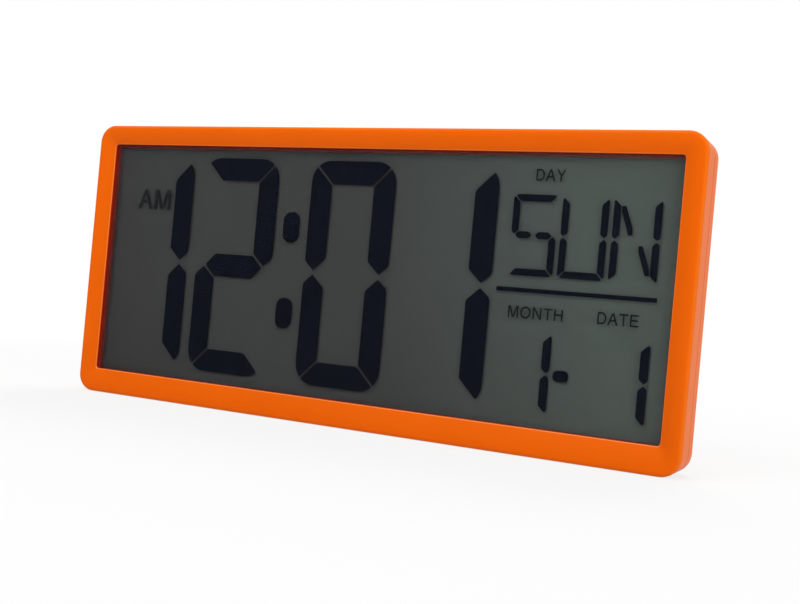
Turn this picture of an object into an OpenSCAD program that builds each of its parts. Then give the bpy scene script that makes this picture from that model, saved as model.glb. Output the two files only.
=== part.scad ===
// Digital wall clock: a large liquid crystal display in a dished orange case, for a wall or a table.
// Frame: X to the right, front towards -Y, Z up, origin under the middle of the case.
// Depths are measured from the front rim backwards, and depth_y turns a depth into a Y.

/* [Case] */
// Width of the case
case_w = 360; // [340:1:420]
// Height of the case
case_h = 160; // [150:1:200]
// Outer corner radius
corner_r = 10; // [8:0.5:14]
// Radius of the rounded front edge
front_edge_r = 2; // [1:0.1:3]
// Radius of the rounded back edge
back_edge_r = 2.2; // [1:0.1:4]
// Side wall of both shells
wall = 2.2; // [1.8:0.1:3]
// Back wall of the rear cover
back_wall = 2.2; // [1.8:0.1:3]
// Depth of the front shell, rim to seam
front_shell_d = 15.8; // [14:0.1:18]
// Open line between the two shells
seam_gap = 0.3; // [0.1:0.1:0.8]
// Height of the rear cover's tongue inside the front shell
tongue_h = 2; // [1:0.1:3]
// Thickness of the tongue
tongue_th = 1.2; // [0.8:0.1:1.6]
// Room between the tongue and the front shell
tongue_gap = 0.15; // [0.1:0.05:0.3]

/* [Window] */
// Frame width left and right of the window
side_border = 10.7; // [10.2:0.1:16]
// Frame width above the window
top_border = 11; // [10.6:0.1:16]
// Frame width below the window
bottom_border = 13.8; // [13.2:0.1:18]
// How far the frame slopes back from rim to window
dish_d = 2.8; // [1:0.1:4]
// Flat land on top of the rim
rim_flat = 0.4; // [0.2:0.1:1]
// Frame thickness at the window's edge
lip_th = 1.2; // [0.8:0.1:2]
// Corner radius of the window
window_r = 1.8; // [0.5:0.1:3]

/* [Display] */
// Foam gasket behind the lip
gasket_th = 0.4; // [0.2:0.1:1]
// Front polariser film
polariser_th = 0.2; // [0.1:0.05:0.4]
// Each sheet of glass
glass_th = 1.1; // [0.7:0.1:1.5]
// Liquid crystal layer between the sheets
cell_th = 0.2; // [0.1:0.05:0.4]
// Reflector film behind the rear sheet
reflector_th = 0.3; // [0.1:0.05:0.5]
// Glass hidden behind the frame, left, right and top
glass_overlap = 2.4; // [1.6:0.1:2.6]
// Front glass below the window, where the contacts are
contact_ledge = 5.4; // [4.8:0.1:5.6]
// Rear glass below the window
rear_ledge = 1.8; // [1.4:0.1:2]
// Films and seal reach this far behind the frame
film_overlap = 1.6; // [1.2:0.1:1.8]
// Width of the edge seal
seal_w = 0.9; // [0.5:0.1:1.1]
// Holder plate behind the display
holder_th = 1.5; // [1:0.1:2.5]

/* [Time digits] */
// Width of a time digit
digit_w = 51.5; // [40:0.1:56]
// Bar width of a time digit
digit_stroke = 12.8; // [8:0.1:16]
// Step from digit to digit
digit_pitch = 58.2; // [57:0.1:62]
// Room for the colon, digit to digit
colon_room = 21.4; // [16:0.1:26]
// Window edge to the top and bottom of the digits
digit_margin = 6.4; // [4:0.1:12]
// Window's right edge to the right edge of the time
time_right = 91.3; // [90:0.1:96]
// Outer corner radius of a time digit
digit_r = 11.8; // [2:0.1:12]
// Gap between the bars of a digit
bar_gap = 1.2; // [0.6:0.1:2]
// Width of a colon dot
dot_w = 10.5; // [6:0.1:14]
// Height of a colon dot
dot_h = 17; // [15:0.1:24]
// Height from one colon dot to the other
dot_pitch = 47.5; // [40:0.1:60]

/* [Day and date] */
// Width of a day letter
letter_w = 23.2; // [18:0.1:24]
// Step from letter to letter
letter_pitch = 25.4; // [25:0.1:26]
// Bar width of a day letter
letter_stroke = 3.5; // [2:0.05:4.5]
// Gap between the bars of the small characters
small_gap = 0.6; // [0.4:0.1:1]
// Window's top edge to the day letters
day_top = 20.7; // [14:0.1:24]
// Day letters to the bar below them
day_bottom = 6.1; // [4:0.1:9]
// Thickness of the bar between day and date
rule_th = 2.1; // [1:0.1:4]
// Length of that bar
rule_l = 80.2; // [70:0.1:81]
// Drop of that bar below the window's middle
rule_drop = 0.6; // [0:0.1:3]
// Bar to the top of the date digits
date_top = 18.9; // [16:0.1:24]
// Window's bottom edge to the date digits
date_bottom = 6.8; // [6:0.1:14]
// Bar width of a date digit
date_stroke = 4.35; // [2.5:0.05:5]
// Width of a date digit
date_w = 16.5; // [12:0.1:18]
// Window's right edge to the right edge of day and date
small_right = 9; // [7:0.1:10]
// Month digit's right edge to the date digit's right edge
month_pitch = 48; // [44:0.1:52]
// Width of the dash between month and date
dash_w = 8; // [5:0.1:9]
// Height of that dash
dash_h = 5.5; // [3:0.1:6]
// Month digit to the dash
dash_gap = 1.9; // [1:0.1:3]
// Drop of the dash below the middle of the date
dash_drop = 0.3; // [0:0.1:2]
// Cut corners of the small characters, in bar widths
corner_cut = 0.52; // [0.2:0.02:0.8]

/* [Boards] */
// Width of the main board
board_w = 300; // [280:1:310]
// Height of the main board
board_h = 31.6; // [30:0.1:36]
// Thickness of both boards
board_th = 1.6; // [1:0.1:2]
// Standoff from holder plate to main board
standoff_h = 2.2; // [1.6:0.1:3]
// Length of the rubber contact strip
strip_l = 280; // [200:1:290]
// Thickness of the rubber contact strip
strip_th = 2.6; // [1.5:0.1:2.8]
// Width of the button board
button_board_w = 68; // [66:1:74]
// Height of the button board
button_board_h = 38; // [37:1:42]
// Middle of the button board, left of the case's middle
button_board_x = 92; // [88:1:100]
// Middle of the button board above the bottom
button_board_z = 78; // [74:1:82]
// Width of the ribbon cable
ribbon_w = 12; // [6:1:13]
// Thickness of the ribbon cable
ribbon_th = 0.4; // [0.3:0.1:0.8]

/* [Buttons] */
// Radius of a push button
button_r = 4; // [3:0.1:4.5]
// Room round a push button
button_gap = 0.3; // [0.2:0.05:0.4]
// Step from button to button
button_pitch = 16; // [13:0.5:16]
// Travel of a push button
button_travel = 0.5; // [0.3:0.1:0.6]
// Buttons stand this far inside the back face
button_sunk = 0.2; // [0.1:0.1:0.6]
// Depth of the panel round the buttons
panel_d = 0.3; // [0.1:0.05:0.5]
// Travel of the alarm switch
switch_travel = 2; // [1:0.1:2.4]

/* [Battery bay] */
// Diameter of a cell
cell_d = 14.5; // [14:0.1:15]
// Length of a cell with its cap
cell_l = 50.5; // [49:0.1:51]
// Room for a pressed contact spring
spring_l = 6.4; // [6:0.1:9]
// Wall of the bay
bay_wall = 2.6; // [2.4:0.1:4]
// Floor of the bay
bay_floor = 1; // [0.8:0.1:2]
// Gap between the bay's floor and the holder plate
bay_gap = 0.2; // [0.1:0.1:2]
// Middle of the bay, right of the case's middle
bay_x = 88.5; // [86:0.5:100]
// Middle of the bay above the bottom
bay_z = 80; // [78:0.5:84]
// Thickness of the battery door
door_th = 2; // [1.6:0.1:2.2]
// Gap between cells and door
door_room = 0.5; // [0.3:0.1:2]
// Door's overlap on the bay's wall
door_overlap = 1.6; // [1.2:0.1:1.8]
// Room round the battery door
door_gap = 0.25; // [0.15:0.05:0.4]
// Contact plates
contact_th = 0.4; // [0.3:0.05:0.6]
// Wire of the contact springs
spring_wire = 0.8; // [0.5:0.1:0.9]
// Turns of a contact spring
spring_turns = 4; // [3:1:4]

/* [Stand] */
// Width of the stand
stand_w = 83; // [60:1:86]
// Thickness of the stand
stand_th = 4; // [3.4:0.1:4.6]
// Height of the hinge above the bottom
hinge_z = 72; // [66:0.5:76]
// Radius of the hinge pin
hinge_pin_r = 1; // [0.8:0.05:1.2]
// Running clearance of the stand on its pin
hinge_gap = 0.08; // [0.03:0.01:0.1]
// Room round the stand in its recess
stand_gap = 0.4; // [0.3:0.1:0.8]
// Opening angle at which the stand meets its stop
stand_angle = 20; // [12:1:24]
// Floor and walls of the recess
recess_wall = 1.6; // [1.2:0.1:2]
// Rubber pad under the stand
pad_th = 1; // [0.6:0.1:1.6]

/* [Wall fixing] */
// Distance between the two keyholes
keyhole_spacing = 200; // [180:1:220]
// Keyhole entry above the bottom
keyhole_z = 124; // [122:0.5:126]
// Radius of the entry, for the screw's head
keyhole_r = 4.5; // [4:0.1:5]
// Width of the slot, for the screw's shank
slot_w = 4.6; // [4:0.1:5.2]
// Rise from the entry to the slot's end
slot_rise = 9; // [7:0.5:10]
// Depth of the pocket behind the keyhole
pocket_d = 4.8; // [3:0.1:6]

/* [Screws] */
// Radius of the case posts
post_r = 3; // [2.6:0.1:3.2]
// Radius of the case screws
case_screw_r = 1.1; // [0.9:0.1:1.4]
// Radius of the small screws
small_screw_r = 0.9; // [0.7:0.1:1.1]
// Posts on the sides, from top and bottom
side_post_z = 30; // [26:1:40]
// Distance between the posts on top and bottom
post_span = 120; // [114:1:200]

/* [Hidden] */
$fn = 48;

// Depths of the display stack, front to back
plate_t = dish_d + lip_th;
polariser_t = plate_t + gasket_th;
front_glass_t = polariser_t + polariser_th;
cell_t = front_glass_t + glass_th;
rear_glass_t = cell_t + cell_th;
reflector_t = rear_glass_t + glass_th;
holder_t = reflector_t + reflector_th;
holder_back_t = holder_t + holder_th;
board_t = holder_back_t + standoff_h;
board_back_t = board_t + board_th;

// Depths of the battery bay, which give the depth of the case
bay_t = holder_back_t + bay_gap;
cells_t = bay_t + bay_floor;
door_t = cells_t + cell_d + door_room;
case_d = door_t + door_th;
back_t = case_d - back_wall;
seat_gap = 0.1;

// Window and the outlines behind it
window_w = case_w - 2 * side_border;
window_h = case_h - top_border - bottom_border;
window_z = bottom_border + window_h / 2;
window_right = window_w / 2;
window_top = bottom_border + window_h;
glass_w = window_w + 2 * glass_overlap;
glass_top = window_top + glass_overlap;
front_glass_z = bottom_border - contact_ledge;
rear_glass_z = bottom_border - rear_ledge;

// Small rooms between pieces that stay in place
fit_gap = 0.2;
thread_gap = 0.05;
corner_land = 0.5;
plate_overlap = 0.5;

// Small characters
rule_z = window_z - rule_drop;
day_h = window_top - day_top - (rule_z + rule_th / 2) - day_bottom;
day_z = window_top - day_top - day_h / 2;
date_h = rule_z - rule_th / 2 - date_top - bottom_border - date_bottom;
date_z = bottom_border + date_bottom + date_h / 2;
small_x = window_right - small_right;
month_x = small_x - month_pitch;

// Time digits
digit_h = window_h - 2 * digit_margin;
minutes_x = window_right - time_right - digit_w / 2;
hours_x = minutes_x - digit_pitch - digit_w - colon_room;
colon_x = minutes_x - digit_pitch - digit_w / 2 - colon_room / 2;

// Case posts and screws
seam_back_t = front_shell_d + seam_gap;
post_end_t = front_shell_d + seam_gap / 2;
post_sink = 0.2;
post_x = case_w / 2 - wall - post_r + post_sink;
post_top_z = case_h - wall - post_r + post_sink;
post_bottom_z = wall + post_r - post_sink;
post_places = concat(
    [for (x = [-post_x, post_x], z = [side_post_z, case_h - side_post_z]) [x, z]],
    [for (x = [-post_span / 2, post_span / 2], z = [post_bottom_z, post_top_z]) [x, z]]);
tube_wall = 1.3;
head_seat = 2;
case_head_r = 2 * case_screw_r;
case_head_h = 1.8;
head_room = 0.5;
small_head_r = 2.2 * small_screw_r;
small_head_h = 1.4;

// Holder ears outside the glass, and the places of the board's screws
ear_boss_r = 2.3;
ear_x = case_w / 2 - wall - ear_boss_r - fit_gap;
ear_h = 8;
ear_pitch = 28;
ear_places = [for (x = [-ear_x, ear_x], k = [-1 : 1]) [x, window_z + k * ear_pitch]];
board_z = front_glass_z;
board_mid_z = board_z + board_h / 2;
board_hole_inset = 8;
board_hole_z = board_z + board_h - board_hole_inset;
board_places = [for (x = [-0.46, -0.16, 0.16, 0.46]) [x * board_w, board_hole_z]];
standoff_r = 2.6;
strip_inset = 0.4;
strip_z = front_glass_z + strip_inset;

// Buttons and switches on the button board
button_face_t = case_d - button_sunk;
button_board_room = 6.8;
button_board_t = back_t - button_board_room;
button_board_back_t = button_board_t + board_th;
switch_side = 6;
switch_h = 2.8;
switch_top_t = button_board_back_t + switch_h;
plunger_r = 1.7;
plunger_gap = 0.15;
well_d = 1.8;
flange_r = button_r + 1;
flange_th = 1.3;
flange_gap = 0.3;
flange_t = back_t - flange_gap - flange_th;
plunger_rest = 0.1;
plunger_t = switch_top_t - well_d + button_travel + plunger_rest;
button_row_rise = 8;
button_row_z = button_board_z + button_row_rise;
function button_x(k) = -button_board_x + (k - 1.5) * button_pitch;
lower_row_x = 16;
lower_row_drop = 10;
slide_x = -button_board_x - lower_row_x;
slide_z = button_board_z - lower_row_drop;
slide_w = 9;
slide_h = 4;
slide_d = 4;
slide_stem = 1.5;
slide_head_w = 4;
slide_head_h = 3.8;
slide_sunk = 0.1;
slide_gap = 0.3;
buzzer_x = -button_board_x + lower_row_x;
buzzer_z = slide_z;
buzzer_r = 6;
buzzer_h = 4;
panel_side = 11;
panel_top = 12;
panel_bottom = 10;
panel_r = 3;
board_post_r = 2.5;
board_post_inset = 4;
board_post_places = [for (x = [-1, 1], z = [-1, 1])
    [-button_board_x + x * (button_board_w / 2 - board_post_inset),
        button_board_z + z * (button_board_h / 2 - board_post_inset)]];

// Ribbon cable, side view as [depth, height]
header_w = 14;
header_h = 3;
header_d = 2.2;
ribbon_x = -button_board_x;
ribbon_start = [board_back_t + header_d, board_z + board_h - 4];
ribbon_end = [button_board_t - header_d, button_board_z - button_board_h / 2 + 3];
ribbon_pull = 6;
ribbon_steps = 18;

// Battery bay
cell_gap = 0.3;
cell_room = 0.35;
contact_gap = 0.1;
touch_gap = 0.05;
bay_l = cell_l + spring_l + 2 * (contact_th + contact_gap + touch_gap);
bay_h = 2 * cell_d + cell_gap + 2 * cell_room;
bay_left = bay_x - bay_l / 2;
bay_right = bay_x + bay_l / 2;
cell_mid_t = cells_t + cell_d / 2;
cell_pitch = cell_d + cell_gap;
upper_z = bay_z + cell_pitch / 2;
lower_z = bay_z - cell_pitch / 2;
left_face = bay_left + contact_gap + contact_th;
right_face = bay_right - contact_gap - contact_th;
contact_h = 10;
contact_d = 9;
tab_w = 2;
tab_l = 2.4;
cap_r = 2.75;
cap_l = 1;
spring_big_r = 4.4;
spring_small_r = 3.2;
spring_sides = 6;
spring_rings = 8;
door_w = bay_l + 2 * door_overlap;
door_h = bay_h + 2 * door_overlap;
door_hinge_x = bay_x - door_w / 2 + door_th / 2;
door_hinge_t = case_d - door_th / 2;
hook_w = 8;
hook_th = 1;
hook_reach = 2.4;
hook_swing = hook_reach + door_th;
latch_w = 3;
latch_th = 0.9;
latch_d = 3;
thumb_w = 14;
thumb_d = 1;
thumb_l = 5;

// Stand
recess_w = stand_w + 2 * stand_gap;
recess_t = case_d - stand_th - stand_gap;
stand_t = recess_t + stand_gap - 0.1;
stand_mid_t = stand_t + stand_th / 2;
recess_top = hinge_z + stand_th / 2 + 2;
heel_h = stand_th / 2 + 1;
heel_gap = 0.05;
heel_reach = (stand_mid_t - recess_t - heel_gap - heel_h * sin(stand_angle)) / cos(stand_angle);
pin_hole_gap = 0.03;
pin_boss_r = 2;
pin_boss_l = 4;
pin_l = recess_w + 2 * (recess_wall + pin_boss_l - 1);
stand_skin = 2;
stand_rib = 3;
pad_w = stand_w - 16;
stand_end = pad_th + 0.4;
nail_r = 6;
nail_d = 1.2;
nail_z = 16;

// Leads, as [across, depth, height] from the contact tabs to the main board
lead_r = 0.6;
lead_sides = 8;
lead_start_x = bay_right + bay_wall + tab_l;
tab_t = cell_mid_t - 1;
lead_end_z = board_z + board_h - 6;
lead_step = 1;
lead_apart = 7;
red_start = [lead_start_x, tab_t, lower_z];
red_end = [lead_start_x - lead_apart - lead_step, board_back_t, lead_end_z];
black_start = [lead_start_x, tab_t, upper_z];
black_end = [lead_start_x - lead_step, board_back_t, lead_end_z];
red_route = concat(
    [for (d = [[0, 0, 0], [1.5, 0, 0], [3, 0, 0], [5.5, -0.4, -3], [6, -0.9, -10], [4.5, -1.4, -18],
        [1, -1.8, -26]]) red_start + lead_step * d],
    [for (d = [[4, 2.9, 6], [1, 2.6, 2], [0, 1.6, 0], [0, 0.8, 0], [0, 0, 0]]) red_end + lead_step * d]);
black_route = concat(
    [for (d = [[0, 0, 0], [1.5, 0, 0], [3, 0, 0], [7, -0.2, -3], [9, -0.5, -11], [9, -0.9, -22],
        [8, -1.3, -33], [5, -1.7, -42]]) black_start + lead_step * d],
    [for (d = [[3, 2.9, 7], [1, 2.6, 2], [0, 1.6, 0], [0, 0.8, 0], [0, 0, 0]]) black_end + lead_step * d]);

// Helpers

function depth_y(t) = t - case_d / 2;

// Extrudes a face drawn as [across, height] from depth t0 back to depth t1
module slab(t0, t1) {
    translate([0, depth_y(t1), 0]) rotate([90, 0, 0]) linear_extrude(t1 - t0) children();
}

module rounded_rect(w, h, r) {
    square([w - 2 * r, h], center = true);
    square([w, h - 2 * r], center = true);
    for (x = [-1, 1], y = [-1, 1]) translate([x * (w / 2 - r), y * (h / 2 - r)]) circle(r);
}

// Rectangle with its corners cut off at 45 degrees, each by the given leg
module cut_rect(w, h, leg) {
    polygon([for (p = [[1, 1, 0], [1, 1, 1], [-1, 1, 1], [-1, 1, 0], [-1, -1, 0], [-1, -1, 1], [1, -1, 1],
        [1, -1, 0]]) [p[0] * (w / 2 - leg * p[2]), p[1] * (h / 2 - leg * (1 - p[2]))]]);
}

module case_outline(inset) {
    translate([0, case_h / 2])
        rounded_rect(case_w - 2 * inset, case_h - 2 * inset, corner_r - inset);
}

module window_outline(grow) {
    translate([0, window_z]) square([window_w + 2 * grow, window_h + 2 * grow], center = true);
}

// Rectangle from its left, right, bottom and top
module span(x0, x1, z0, z1) {
    translate([x0, z0]) square([x1 - x0, z1 - z0]);
}

module at(places) {
    for (p = places) translate(p) children();
}

// Sweeps a section drawn as [distance in from the case's side, depth] round the case
module around_case() {
    translate([0, depth_y(0), case_h / 2]) for (side = [0 : 3]) {
        along = side % 2 == 0 ? case_w : case_h;
        across = side % 2 == 0 ? case_h : case_w;
        rotate([0, 90 * side, 0]) {
            translate([along / 2 - corner_r, 0, -across / 2])
                rotate([0, -90, 0]) linear_extrude(along - 2 * corner_r) children();
            translate([along / 2 - corner_r, 0, corner_r - across / 2])
                rotate([-90, 0, 0]) rotate_extrude(angle = 90)
                    translate([corner_r, 0]) mirror([1, 0]) children();
        }
    }
}

// Plain pan head screw along depth: the head lies behind seat_t, or in front of it when turned
module screw(p, r, head_r, head_h, seat_t, tip_t) {
    side = sign(seat_t - tip_t);
    head_t = seat_t + side * head_h;
    cross_t = seat_t + side * head_h / 2;
    difference() {
        union() {
            slab(min(seat_t, head_t), max(seat_t, head_t)) translate(p) circle(head_r);
            slab(min(seat_t, tip_t), max(seat_t, tip_t)) translate(p) circle(r);
        }
        slab(min(cross_t, head_t), max(cross_t, head_t)) translate(p) {
            square([1.3 * head_r, 0.3 * head_r], center = true);
            square([0.3 * head_r, 1.3 * head_r], center = true);
        }
    }
}

// Characters made of bars

// One bar of a character w wide and h high with bars s wide, named by the usual letters:
// a top, b and c right, d bottom, e and f left, g middle, g1 and g2 its halves,
// h upper left slant, k lower right slant. The outline of the whole character is given as a child.
module char_bar(name, w, h, s, gap) {
    mitre = gap / sqrt(2);
    upright = [[-w / 2, h / 2 - mitre], [s - w / 2, h / 2 - s - mitre], [s - w / 2, 0.62 * s],
        [0.44 * s - w / 2, 0.1 * s], [0.07 * s - w / 2, 0.41 * s], [-w / 2, 0.55 * s]];
    top = [[mitre - w / 2, h / 2], [w / 2 - mitre, h / 2], [w / 2 - s - mitre, h / 2 - s],
        [s + mitre - w / 2, h / 2 - s]];
    tip_x = 0.52 * s - w / 2;
    middle = [[tip_x, 0], [tip_x + s / 2, s / 2], [-tip_x - s / 2, s / 2], [-tip_x, 0],
        [-tip_x - s / 2, -s / 2], [tip_x + s / 2, -s / 2]];
    half_x0 = 0.6 * s - w / 2;
    half_x1 = -1.4 * gap;
    half = [[half_x0, 0], [half_x0 + s / 2, s / 2], [half_x1 - s / 2, s / 2], [half_x1, 0],
        [half_x1 - s / 2, -s / 2], [half_x0 + s / 2, -s / 2]];
    slant_x0 = s + 0.7 * gap - w / 2;
    slant_x1 = slant_x0 + 0.17 * w;
    slant_w = 0.56 * s;
    slant_y0 = 0.68 * s;
    slant_y1 = h / 2 - 1.12 * s;
    slant_end = 0.85 * s;
    slant = [[slant_x0, slant_y1], [slant_x0 + slant_w, slant_y1], [slant_x1 + slant_w, slant_y0 + slant_end],
        [slant_x1 + slant_w, slant_y0], [slant_x1, slant_y0], [slant_x0, slant_y1 - slant_end]];
    intersection() {
        children();
        mirror([search(name, "bc") != [] || name == "g2" || name == "k" ? 1 : 0, 0])
            mirror([0, search(name, "cde") != [] || name == "k" ? 1 : 0])
                polygon(name == "a" || name == "d" ? top : name == "g" ? middle
                    : name == "g1" || name == "g2" ? half : name == "h" || name == "k" ? slant : upright);
    }
}

module character(bars, x, z, w, h, s, gap) {
    for (bar = bars) slab(cell_t, rear_glass_t) translate([x, z]) char_bar(bar, w, h, s, gap) children();
}

// The same with cut corners
module small_character(bars, x, z, w, h, s) {
    character(bars, x, z, w, h, s, small_gap) cut_rect(w, h, corner_cut * s);
}

// Tubes along a route

function catmull(a, b, c, d, u) = 0.5 * (2 * b + (c - a) * u + (2 * a - 5 * b + 4 * c - d) * u * u
    + (3 * b - a - 3 * c + d) * u * u * u);

// Points of a smooth curve through a route, with a few steps between its points
function smooth(route, steps) = let (n = len(route)) concat(
    [for (k = [0 : n - 2], j = [0 : steps - 1])
        catmull(route[max(k - 1, 0)], route[k], route[k + 1], route[min(k + 2, n - 1)], j / steps)],
    [route[n - 1]]);

function unit(v) = v / norm(v);

function direction(path, k) = unit(path[min(k + 1, len(path) - 1)] - path[max(k - 1, 0)]);

// A tube of the given radius along a path, closed at both ends, turned so that its seam keeps to one side
module tube(path, r, sides, up) {
    n = len(path);
    rings = [for (k = [0 : n - 1]) let (d = direction(path, k), a = unit(cross(d, up)), b = cross(d, a))
        for (j = [0 : sides - 1]) path[k] + r * (cos(360 * j / sides) * a + sin(360 * j / sides) * b)];
    walls = [for (k = [0 : n - 2], j = [0 : sides - 1]) let (i = (j + 1) % sides)
        each [[k * sides + j, (k + 1) * sides + i, k * sides + i],
            [k * sides + j, (k + 1) * sides + j, (k + 1) * sides + i]]];
    first = [for (j = [1 : sides - 2]) [0, j, j + 1]];
    last = [for (j = [1 : sides - 2]) [(n - 1) * sides, (n - 1) * sides + j + 1, (n - 1) * sides + j]];
    polyhedron(points = rings, faces = concat(walls, first, last));
}

module lead(route) {
    tube([for (p = smooth(route, 2)) [p[0], depth_y(p[1]), p[2]]], lead_r, lead_sides, [0.3, 0.9, 0.2]);
}

// Case shells

module bezel_section() {
    reach = corner_r - corner_land;
    translate([front_edge_r, front_edge_r]) circle(front_edge_r);
    span(front_edge_r, reach, 0, plate_t);
    span(0, reach, front_edge_r, plate_t);
    span(0, wall, front_edge_r, front_shell_d);
}

// The slope from the rim to the window, as the room it takes away
module dish() {
    rim = front_edge_r + rim_flat;
    hull($fn = 32) {
        slab(-0.1, 0) case_outline(rim);
        slab(dish_d - 0.01, dish_d) translate([0, window_z]) rounded_rect(window_w, window_h, window_r);
    }
}

// Ribs that hold the glass in place, on all four sides
module glass_ribs() {
    rib = 1.2;
    rib_l = 6;
    rib_step = 74;
    slab(plate_t, rear_glass_t) {
        for (x = [-1, 1], z = [-1, 1])
            translate([x * (glass_w / 2 + fit_gap + rib / 2), window_z + z * rib_step / 2])
                square([rib, rib_l], center = true);
        for (x = [-1, 1], z = [front_glass_z - fit_gap - rib / 2, glass_top + fit_gap + rib / 2])
            translate([x * 1.4 * rib_step, z]) square([rib_l, rib], center = true);
    }
}

module front_bezel() {
    inner = corner_r - corner_land - plate_overlap;
    color("darkorange") difference() {
        union() {
            around_case() bezel_section();
            slab(0, plate_t) case_outline(inner);
            slab(plate_t, post_end_t) at(post_places) circle(post_r);
            slab(plate_t, holder_t) at(ear_places) circle(ear_boss_r);
            glass_ribs();
        }
        dish();
        slab(-1, plate_t + 1) translate([0, window_z]) rounded_rect(window_w, window_h, window_r);
        slab(plate_t + 2, post_end_t + 1) at(post_places) circle(case_screw_r + thread_gap);
        slab(plate_t - 0.4, holder_t + 1) at(ear_places) circle(small_screw_r + thread_gap);
    }
}

module cover_section() {
    reach = corner_r - corner_land;
    tongue_in = wall + tongue_gap;
    tongue_out = tongue_in + tongue_th;
    translate([back_edge_r, case_d - back_edge_r]) circle(back_edge_r);
    span(back_edge_r, reach, back_t, case_d);
    span(0, wall, seam_back_t, case_d - back_edge_r);
    span(0, back_edge_r, case_d - back_edge_r - 0.8, case_d - back_edge_r);
    span(0, tongue_out, seam_back_t, seam_back_t + tongue_h);
    span(tongue_in, tongue_out, front_shell_d - tongue_h, seam_back_t + tongue_h);
}

module keyhole_outline() {
    circle(keyhole_r);
    span(-slot_w / 2, slot_w / 2, 0, slot_rise);
    translate([0, slot_rise]) circle(slot_w / 2);
}

module keyhole_pocket(grow) {
    side = keyhole_r + 1.5 + grow;
    span(-side, side, -keyhole_r - 1 - grow, slot_rise + side);
}

module bay_outline(grow) {
    translate([bay_x, bay_z]) square([bay_l + 2 * grow, bay_h + 2 * grow], center = true);
}

hook_places = [for (z = [-1, 1]) bay_z + z * bay_h / 4];

// Openings in the bay's wall for the door's hooks, the contacts' tabs and a thumb
module bay_openings() {
    hook_room = 0.3;
    for (z = hook_places)
        slab(door_hinge_t - hook_swing - hook_room, max(back_t, door_t))
            span(bay_left - bay_wall - 1, bay_left + 0.1,
                z - hook_w / 2 - hook_room, z + hook_w / 2 + hook_room);
    for (z = [lower_z, upper_z])
        slab(tab_t - contact_th / 2 - fit_gap, tab_t + contact_th / 2 + fit_gap)
            span(bay_right - 0.1, bay_right + bay_wall + 1, z - tab_w / 2 - fit_gap, z + tab_w / 2 + fit_gap);
    slab(case_d - thumb_d, case_d + 1)
        span(bay_right + door_overlap, bay_right + door_overlap + door_gap + thumb_l,
            bay_z - thumb_w / 2, bay_z + thumb_w / 2);
}

// Shallow panel round the controls, which keeps their words off the wall
module panel_outline() {
    panel_w = 3 * button_pitch + 2 * panel_side;
    panel_h = button_row_z + panel_top - (slide_z - panel_bottom);
    translate([-button_board_x, slide_z - panel_bottom + panel_h / 2])
        rounded_rect(panel_w, panel_h, panel_r);
}

module sound_holes() {
    hole_r = 0.9;
    ring_r = 3.2;
    translate([buzzer_x, buzzer_z]) {
        circle(hole_r);
        for (k = [0 : 5]) rotate(60 * k) translate([ring_r, 0]) circle(hole_r);
    }
}

module rear_cover() {
    inner = corner_r - corner_land - plate_overlap;
    tube_r = case_head_r + head_room + tube_wall;
    pocket_wall = 1.4;
    color("orange") difference() {
        union() {
            difference() {
                around_case() cover_section();
                slab(front_shell_d - tongue_h - 1, post_end_t) at(post_places) circle(post_r + fit_gap);
            }
            slab(back_t, case_d) case_outline(inner);
            slab(post_end_t, back_t + 0.1) intersection() {
                case_outline(wall / 2);
                at(post_places) circle(tube_r);
            }
            slab(bay_t, case_d) bay_outline(bay_wall);
            slab(recess_t - recess_wall, back_t + 0.1)
                span(-recess_w / 2 - recess_wall, recess_w / 2 + recess_wall, wall / 2,
                    recess_top + recess_wall);
            for (side = [-1, 1])
                translate([side * (recess_w / 2 + recess_wall / 2), depth_y(stand_mid_t), hinge_z])
                    rotate([0, side * 90, 0]) cylinder(r = pin_boss_r, h = pin_boss_l + recess_wall / 2);
            for (x = [-1, 1]) translate([x * keyhole_spacing / 2, 0, keyhole_z])
                slab(back_t - pocket_d - pocket_wall, back_t + 0.1) keyhole_pocket(pocket_wall);
            slab(button_board_back_t, back_t + 0.1) at(board_post_places) circle(board_post_r);
        }
        slab(post_end_t - 1, case_d) at(post_places) circle(case_screw_r + fit_gap);
        slab(post_end_t + head_seat, case_d + 1) at(post_places) circle(case_head_r + head_room);
        slab(cells_t, case_d + 1) bay_outline(0);
        slab(door_t - seat_gap, case_d + 1) bay_outline(door_overlap + door_gap);
        bay_openings();
        slab(recess_t, case_d + 1) span(-recess_w / 2, recess_w / 2, -1, recess_top);
        translate([-pin_l / 2 - 0.1, depth_y(stand_mid_t), hinge_z]) rotate([0, 90, 0])
            cylinder(r = hinge_pin_r + pin_hole_gap, h = pin_l + 0.2);
        slab(case_d - nail_d, case_d + 1) for (x = [-1, 1])
            translate([x * recess_w / 2, nail_z]) circle(nail_r);
        for (x = [-1, 1]) translate([x * keyhole_spacing / 2, 0, keyhole_z]) {
            slab(back_t - pocket_d, back_t) keyhole_pocket(0);
            slab(back_t - 0.1, case_d + 1) keyhole_outline();
        }
        slab(case_d - panel_d, case_d + 1) panel_outline();
        slab(back_t - 1, case_d + 1) for (k = [0 : 3])
            translate([button_x(k), button_row_z]) circle(button_r + button_gap);
        slab(back_t - 1, case_d + 1)
            span(slide_x - slide_head_w / 2 - slide_gap,
                slide_x + slide_head_w / 2 + switch_travel + slide_gap,
                slide_z - slide_head_h / 2 - slide_gap, slide_z + slide_head_h / 2 + slide_gap);
        slab(back_t - 1, case_d + 1) sound_holes();
        slab(button_board_back_t - 1, back_t - 0.6) at(board_post_places) circle(small_screw_r + thread_gap);
    }
}

// Display

module lcd_gasket() {
    color("dimgray") slab(plate_t, polariser_t) difference() {
        window_outline(film_overlap);
        window_outline(film_overlap / 3);
    }
}

module lcd_front_polariser() {
    color([0.35, 0.38, 0.36, 0.4]) slab(polariser_t, front_glass_t) window_outline(film_overlap);
}

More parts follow.
